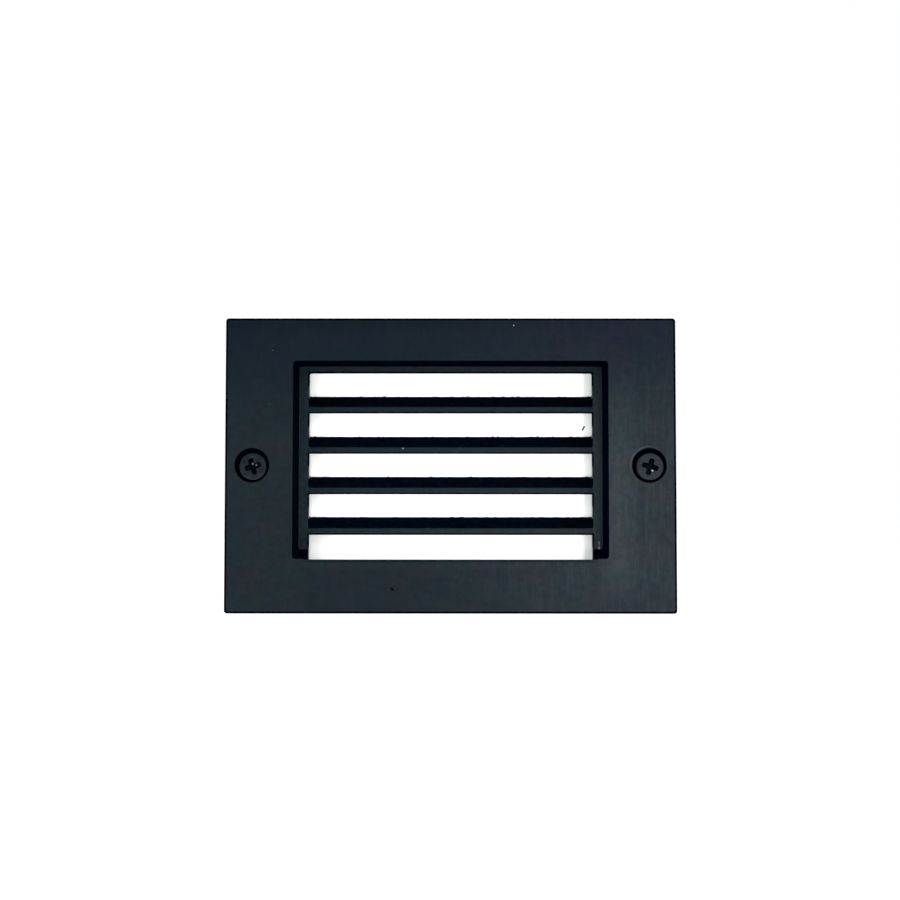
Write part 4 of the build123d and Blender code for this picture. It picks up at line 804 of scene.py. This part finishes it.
def makeChips():
    material, tree, shader, parts = startFinish("ledChip", chipLook)
    feed(tree, shader.inputs["Emission Color"], parts["colour"])
    shader.inputs["Emission Strength"].default_value = chipGlow
    return material


# The screws' coat goes on when they are cut, further down
screwCoat = makeScrewCoat()
# Each other finish and the pieces that it goes on
finishes = [
    (makeCoatedCasting(), "faceplate"),
    (makeHousingCoat(), "housing"),
    (makeOpalGlass(), "lens"),
    (plainFinish("blackRubber", rubberLook), "lens_gasket", "faceplate_gasket", "left_screw_washer",
     "right_screw_washer", "lead_grommet", "gland_washer", "gland_seal", "plug_ring"),
    (makeStainless(), "lens_retainer", "lens_retainer_screws", "reflector_screws", "terminal_fixing_screw"),
    (plainFinish("turnedBrass", brassLook), "screw_inserts", "terminal_barrels"),
    (plainFinish("whiteTrayCoat", trayLook), "reflector"),
    (plainFinish("zincPlate", zincLook), "holder_bracket", "holder_screws", "holder_nuts", "terminal_screws"),
    (plainFinish("rivetAluminium", aluminiumLook), "bracket_rivets"),
    (makeCeramic(), "lamp_holder"),
    (plainFinish("nickelPlate", nickelLook), "holder_contacts", "lamp_pins"),
    (plainFinish("lampPlastic", lampPlasticLook), "lamp_base"),
    (plainFinish("terminalNylon", terminalLook), "terminal_block"),
    (plainFinish("blackNylon", nylonLook), "gland_body", "gland_nut", "gland_cap", "blanking_plug"),
    (plainFinish("circuitBoard", boardLook), "lamp_board"),
    (makeBraidedSleeve(), "lamp_leads"),
    (makeFrostedGlass(), "lamp_cover"),
    (makeChips(), "lamp_chips"),
]
for finish, *dressed in finishes:
    for name in dressed:
        for slot in nodes[name].material_slots:
            slot.material = finish
print("stage: finishes laid on,", len(finishes), "kinds")


def joinRings(build, rings):
    # walls between rings of as many corners, the two end faces, and all of them turned outwards
    corners = len(rings[0])
    for first, second in zip(rings, rings[1:]):
        for corner in range(corners):
            following = (corner + 1) % corners
            build.faces.new((first[corner], first[following], second[following], second[corner]))
    build.faces.new(list(reversed(rings[0])))
    build.faces.new(rings[-1])
    bmesh.ops.recalc_face_normals(build, faces=build.faces)


def addPiece(name, build):
    mesh = bpy.data.meshes.new(name)
    build.to_mesh(mesh)
    build.free()
    piece = bpy.data.objects.new(name, mesh)
    bpy.context.scene.collection.objects.link(piece)
    return piece


# Faceplate screws with their threads, all in mm
faceplateScrew = {
    "headRadius": 3.5, "headHeight": 2.1, "rim": 0.5, "rimSteps": 6, "shankRadius": 1.75, "rootRadius": 1.32,
    "length": 9.5, "pitch": 0.794, "neck": 0.5, "tip": 0.6, "tipNarrowing": 0.45, "endNarrowing": 0.5,
    # share of the pitch from the groove's middle to its edge, and how soon it is full depth
    "flank": 0.42, "crest": 1.25, "around": 64, "perPitch": 12,
    "crossLength": 4.35, "crossWidth": 1.32, "crossFlare": 1.12,
    # an arm of the cross, in shares of its half length and half width
    "armStart": 0.55, "armFlare": 1.08, "armCorner": 0.3, "armTip": 0.66,
    # the cross's depths and its outline's share there
    "crossLevels": [(-0.3, 1.06), (0.0, 1.0), (1.05, 0.8), (1.4, 0.5)],
    "face": -8.4, "sharpFrom": 32,
}


def screwRows(shape):
    # (depth behind the head's face, radius, share of thread) from face to tip
    rows = []
    for step in range(shape["rimSteps"], -1, -1):
        angle = math.radians(90 * step / shape["rimSteps"])
        rows.append((shape["rim"] * (1 - math.sin(angle)),
                     shape["headRadius"] - shape["rim"] * (1 - math.cos(angle)), 0.0))
    start = shape["headHeight"] + shape["neck"]
    end = shape["headHeight"] + shape["length"]
    rows.append((shape["headHeight"], shape["headRadius"], 0.0))
    rows.append((shape["headHeight"], shape["shankRadius"], 0.0))
    rows.append((start, shape["shankRadius"], 0.0))
    count = int((end - start) / shape["pitch"] * shape["perPitch"])
    for step in range(1, count):
        depth = start + (end - start) * step / count
        threaded = min(1.0, (depth - start) / shape["pitch"])
        narrow = 1 - min(1.0, (end - depth) / shape["tip"])
        rows.append((depth, shape["shankRadius"] - shape["tipNarrowing"] * narrow, threaded))
    rows.append((end, shape["shankRadius"] - shape["endNarrowing"], 0.0))
    return rows


def makeThreadedBody(name, shape):
    build = bmesh.new()
    rings = []
    for depth, radius, threaded in screwRows(shape):
        ring = []
        for step in range(shape["around"]):
            turn = step / shape["around"]
            phase = (depth / shape["pitch"] - turn) % 1.0
            valley = max(0.0, 1.0 - abs(phase - 0.5) / shape["flank"])
            cut = (shape["shankRadius"] - shape["rootRadius"]) * min(1.0, valley * shape["crest"]) * threaded
            r = (radius - cut) * mm
            angle = 2 * math.pi * turn
            ring.append(build.verts.new((r * math.cos(angle), depth * mm, r * math.sin(angle))))
        rings.append(ring)
    joinRings(build, rings)
    return addPiece(name, build)


def makeCross(name, shape):
    # cross recess, wider in the middle and narrower at its floor
    build = bmesh.new()
    half = shape["crossLength"] / 2 * mm
    wide = shape["crossWidth"] / 2 * mm
    waist = wide * shape["crossFlare"]
    arm = [(half * shape["armStart"], wide * shape["armFlare"]), (half - wide * shape["armCorner"], wide),
           (half, wide * shape["armTip"])]
    outline = []
    for quarter in range(4):
        spin = Matrix.Rotation(math.radians(-90 * quarter), 2)
        for x, z in ((waist, waist), *arm, *[(x, -z) for x, z in reversed(arm)]):
            outline.append(spin @ Vector((x, z)))
    levels = [[build.verts.new((p.x * share, depth * mm, p.y * share)) for p in outline]
              for depth, share in shape["crossLevels"]]
    joinRings(build, levels)
    return addPiece(name, build)


def makeScrew(name, node, centreX, turn, shape):
    screw = makeThreadedBody(name, shape)
    cutter = makeCross(name + "Cross", shape)
    cutting = screw.modifiers.new("cross", "BOOLEAN")
    cutting.operation = "DIFFERENCE"
    cutting.solver = "EXACT"
    cutting.object = cutter
    bpy.context.view_layer.update()
    cut = bpy.data.meshes.new_from_object(screw.evaluated_get(bpy.context.evaluated_depsgraph_get()))
    screw.modifiers.clear()
    screw.data = cut
    bpy.data.objects.remove(cutter)
    place = Matrix.Translation((centreX * mm, shape["face"] * mm, 0))
    cut.transform(place @ Matrix.Rotation(math.radians(-turn), 4, "Y"))
    for polygon in cut.polygons:
        polygon.use_smooth = True
    cut.set_sharp_from_angle(angle=math.radians(shape["sharpFrom"]))
    cut.materials.clear()
    cut.materials.append(screwCoat)
    cut.name = name
    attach(screw, node)
    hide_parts(node)


makeScrew("leftScrewThreaded", "left_screw", -51.5, 17.0, faceplateScrew)
makeScrew("rightScrewThreaded", "right_screw", 51.5, -16.0, faceplateScrew)
print("stage: screws cut")


# Cast flash: thin ragged fins left standing along the blades' upper back edges
castFlash = {
    # in mm: the edges' heights, middle and half length, depth from and to, foot below the edge, rows apart
    "edges": (19.15, 8.35, -2.45, -13.25), "middle": -0.2, "half": 37.85, "depth": (4.06, 4.2), "lean": 0.03,
    "foot": 0.3, "step": 0.11, "rise": 0.03, "bumps": 130, "bumpRise": (0.02, 0.27), "bumpHalf": (0.1, 0.36),
    # how few bumps are tall, how blunt they are, how ragged, and the back edge's share of their height
    "fewTall": 3, "blunt": 0.6, "ragged": (0.8, 1.0), "backShare": 0.9, "seed": 23,
}
flashLook = lookOf(
    colour=(0.0008, 0.0028, 0.0056), secondColour=(0.0022, 0.0044, 0.0070), driftScale=600.0,
    grainScale=3000.0, roughness=(0.5, 0.7), specular=0.03, edgeRadius=0.00005, edgeWear=0.2,
    edgeColour=(0.01, 0.014, 0.018), dust=0.0)


def raggedRises(draw, shape, count):
    # height of the fin at each row: a low uneven line with bumps on it
    rises = [shape["rise"] * draw.random() for _ in range(count + 1)]
    least, largest = shape["bumpRise"]
    for _ in range(shape["bumps"]):
        middle = draw.uniform(0, count)
        half = draw.uniform(*shape["bumpHalf"]) / shape["step"]
        rise = least + (largest - least) * draw.random() ** shape["fewTall"]
        for step in range(max(0, int(middle - half)), min(count, int(middle + half)) + 1):
            share = max(0.0, 1 - abs(step - middle) / half)
            rises[step] = max(rises[step], rise * share ** shape["blunt"] * draw.uniform(*shape["ragged"]))
    return rises


def makeFlash(shape):
    draw = random.Random(shape["seed"])
    build = bmesh.new()
    near, far = shape["depth"]
    count = int(2 * shape["half"] / shape["step"])
    for edge in shape["edges"]:
        rows = []
        for step, rise in enumerate(raggedRises(draw, shape, count)):
            x = shape["middle"] - shape["half"] + 2 * shape["half"] * step / count
            corners = ((near, edge - shape["foot"]), (near + shape["lean"], edge + rise),
                       (far - shape["lean"], edge + rise * shape["backShare"]), (far, edge - shape["foot"]))
            rows.append([build.verts.new((x * mm, y * mm, z * mm)) for y, z in corners])
        joinRings(build, rows)
    flash = addPiece("bladeFlash", build)
    flash.data.materials.append(plainFinish("castFlash", flashLook))
    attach(flash, "faceplate")


makeFlash(castFlash)
print("stage: cast flash added")


# Floor and soft light; the floor lies well below, and its glow is seen by the camera and in gloss only
studio = {
    "floorHeight": -0.24, "floorHalf": 8.0, "floorRoughness": 0.7, "floorGlow": 0.62,
    "floorColours": {"First": (0.86, 0.86, 0.85, 1), "Second": (0.88, 0.88, 0.87, 1),
                     "Scale": 3.0, "Contrast": 0.3},
    "worldStrength": 0.5,
    # name, place, aim, size in metres, power
    "lamps": [("lowFront", (0.15, -1.0, -0.115), (0, 0, 0), 0.2, 1.5),
              ("keyRight", (0.8, -0.8, 0.6), (0, 0, 0), 0.9, 8.0),
              ("fillLeft", (-0.9, -0.7, 0.4), (0, 0, 0), 1.0, 4.0),
              ("topSoft", (0.0, 0.25, 1.1), (0, 0.02, 0), 1.2, 6.0),
              ("backSoft", (-0.5, 1.0, 0.5), (0, 0.03, 0), 1.0, 7.0)],
}


def makeWorld():
    # seen directly, in gloss or through glass it is plain white; what it lights gets the lower level
    world = bpy.data.worlds.new("studioWorld")
    bpy.context.scene.world = world
    world.use_nodes = True
    tree = world.node_tree
    path = addNode(tree, "ShaderNodeLightPath").outputs
    seen = most(tree, path["Is Camera Ray"], path["Is Glossy Ray"], path["Is Transmission Ray"])
    background = tree.nodes["Background"]
    background.inputs["Color"].default_value = (1, 1, 1, 1)
    feed(tree, background.inputs["Strength"], spread(tree, seen, 0.0, 1.0, studio["worldStrength"], 1.0))


def makeFloor():
    size = studio["floorHalf"]
    height = studio["floorHeight"]
    mesh = bpy.data.meshes.new("studioFloor")
    corners = [(-size, -size), (size, -size), (size, size), (-size, size)]
    mesh.from_pydata([(x, y, height) for x, y in corners], [], [(0, 1, 2, 3)])
    floor = bpy.data.objects.new("studioFloor", mesh)
    bpy.context.scene.collection.objects.link(floor)
    material = bpy.data.materials.new("paleFloor")
    material.use_nodes = True
    tree = material.node_tree
    shader = tree.nodes["Principled BSDF"]
    drift = useGroup(tree, effects["drift"], studio["floorColours"])
    feed(tree, shader.inputs["Base Color"], drift["Colour"])
    shader.inputs["Roughness"].default_value = studio["floorRoughness"]
    path = addNode(tree, "ShaderNodeLightPath").outputs
    seen = most(tree, path["Is Camera Ray"], path["Is Glossy Ray"])
    glow = opaque([studio["floorGlow"]] * 3)
    feed(tree, shader.inputs["Emission Color"], mixColours(tree, seen, (0, 0, 0, 1), glow))
    shader.inputs["Emission Strength"].default_value = 1.0
    mesh.materials.append(material)


def makeLamps():
    for name, place, aim, width, power in studio["lamps"]:
        light = bpy.data.lights.new(name, "AREA")
        light.shape = "SQUARE"
        light.size = width
        light.energy = power
        lamp = bpy.data.objects.new(name, light)
        lamp.location = place
        lamp.rotation_euler = (Vector(aim) - Vector(place)).to_track_quat("-Z", "Y").to_euler()
        bpy.context.scene.collection.objects.link(lamp)


cameraPlace = {
    "place": (0.00034, -0.3321, -0.00953), "pitch": 2.443, "roll": -0.03, "yaw": 0.12,
    "lens": 50.0, "sensor": 36.0, "nearest": 0.01,
}


def makeCamera():
    lensData = bpy.data.cameras.new("photoCamera")
    lensData.lens = cameraPlace["lens"]
    lensData.sensor_width = cameraPlace["sensor"]
    lensData.clip_start = cameraPlace["nearest"]
    camera = bpy.data.objects.new("photoCamera", lensData)
    camera.location = cameraPlace["place"]
    camera.rotation_euler = [math.radians(angle) for angle in (
        90 + cameraPlace["pitch"], cameraPlace["roll"], cameraPlace["yaw"])]
    bpy.context.scene.collection.objects.link(camera)
    bpy.context.scene.camera = camera


makeWorld()
makeFloor()
makeLamps()
makeCamera()
bpy.context.scene.view_settings.view_transform = "Standard"
print("stage: studio and camera set")
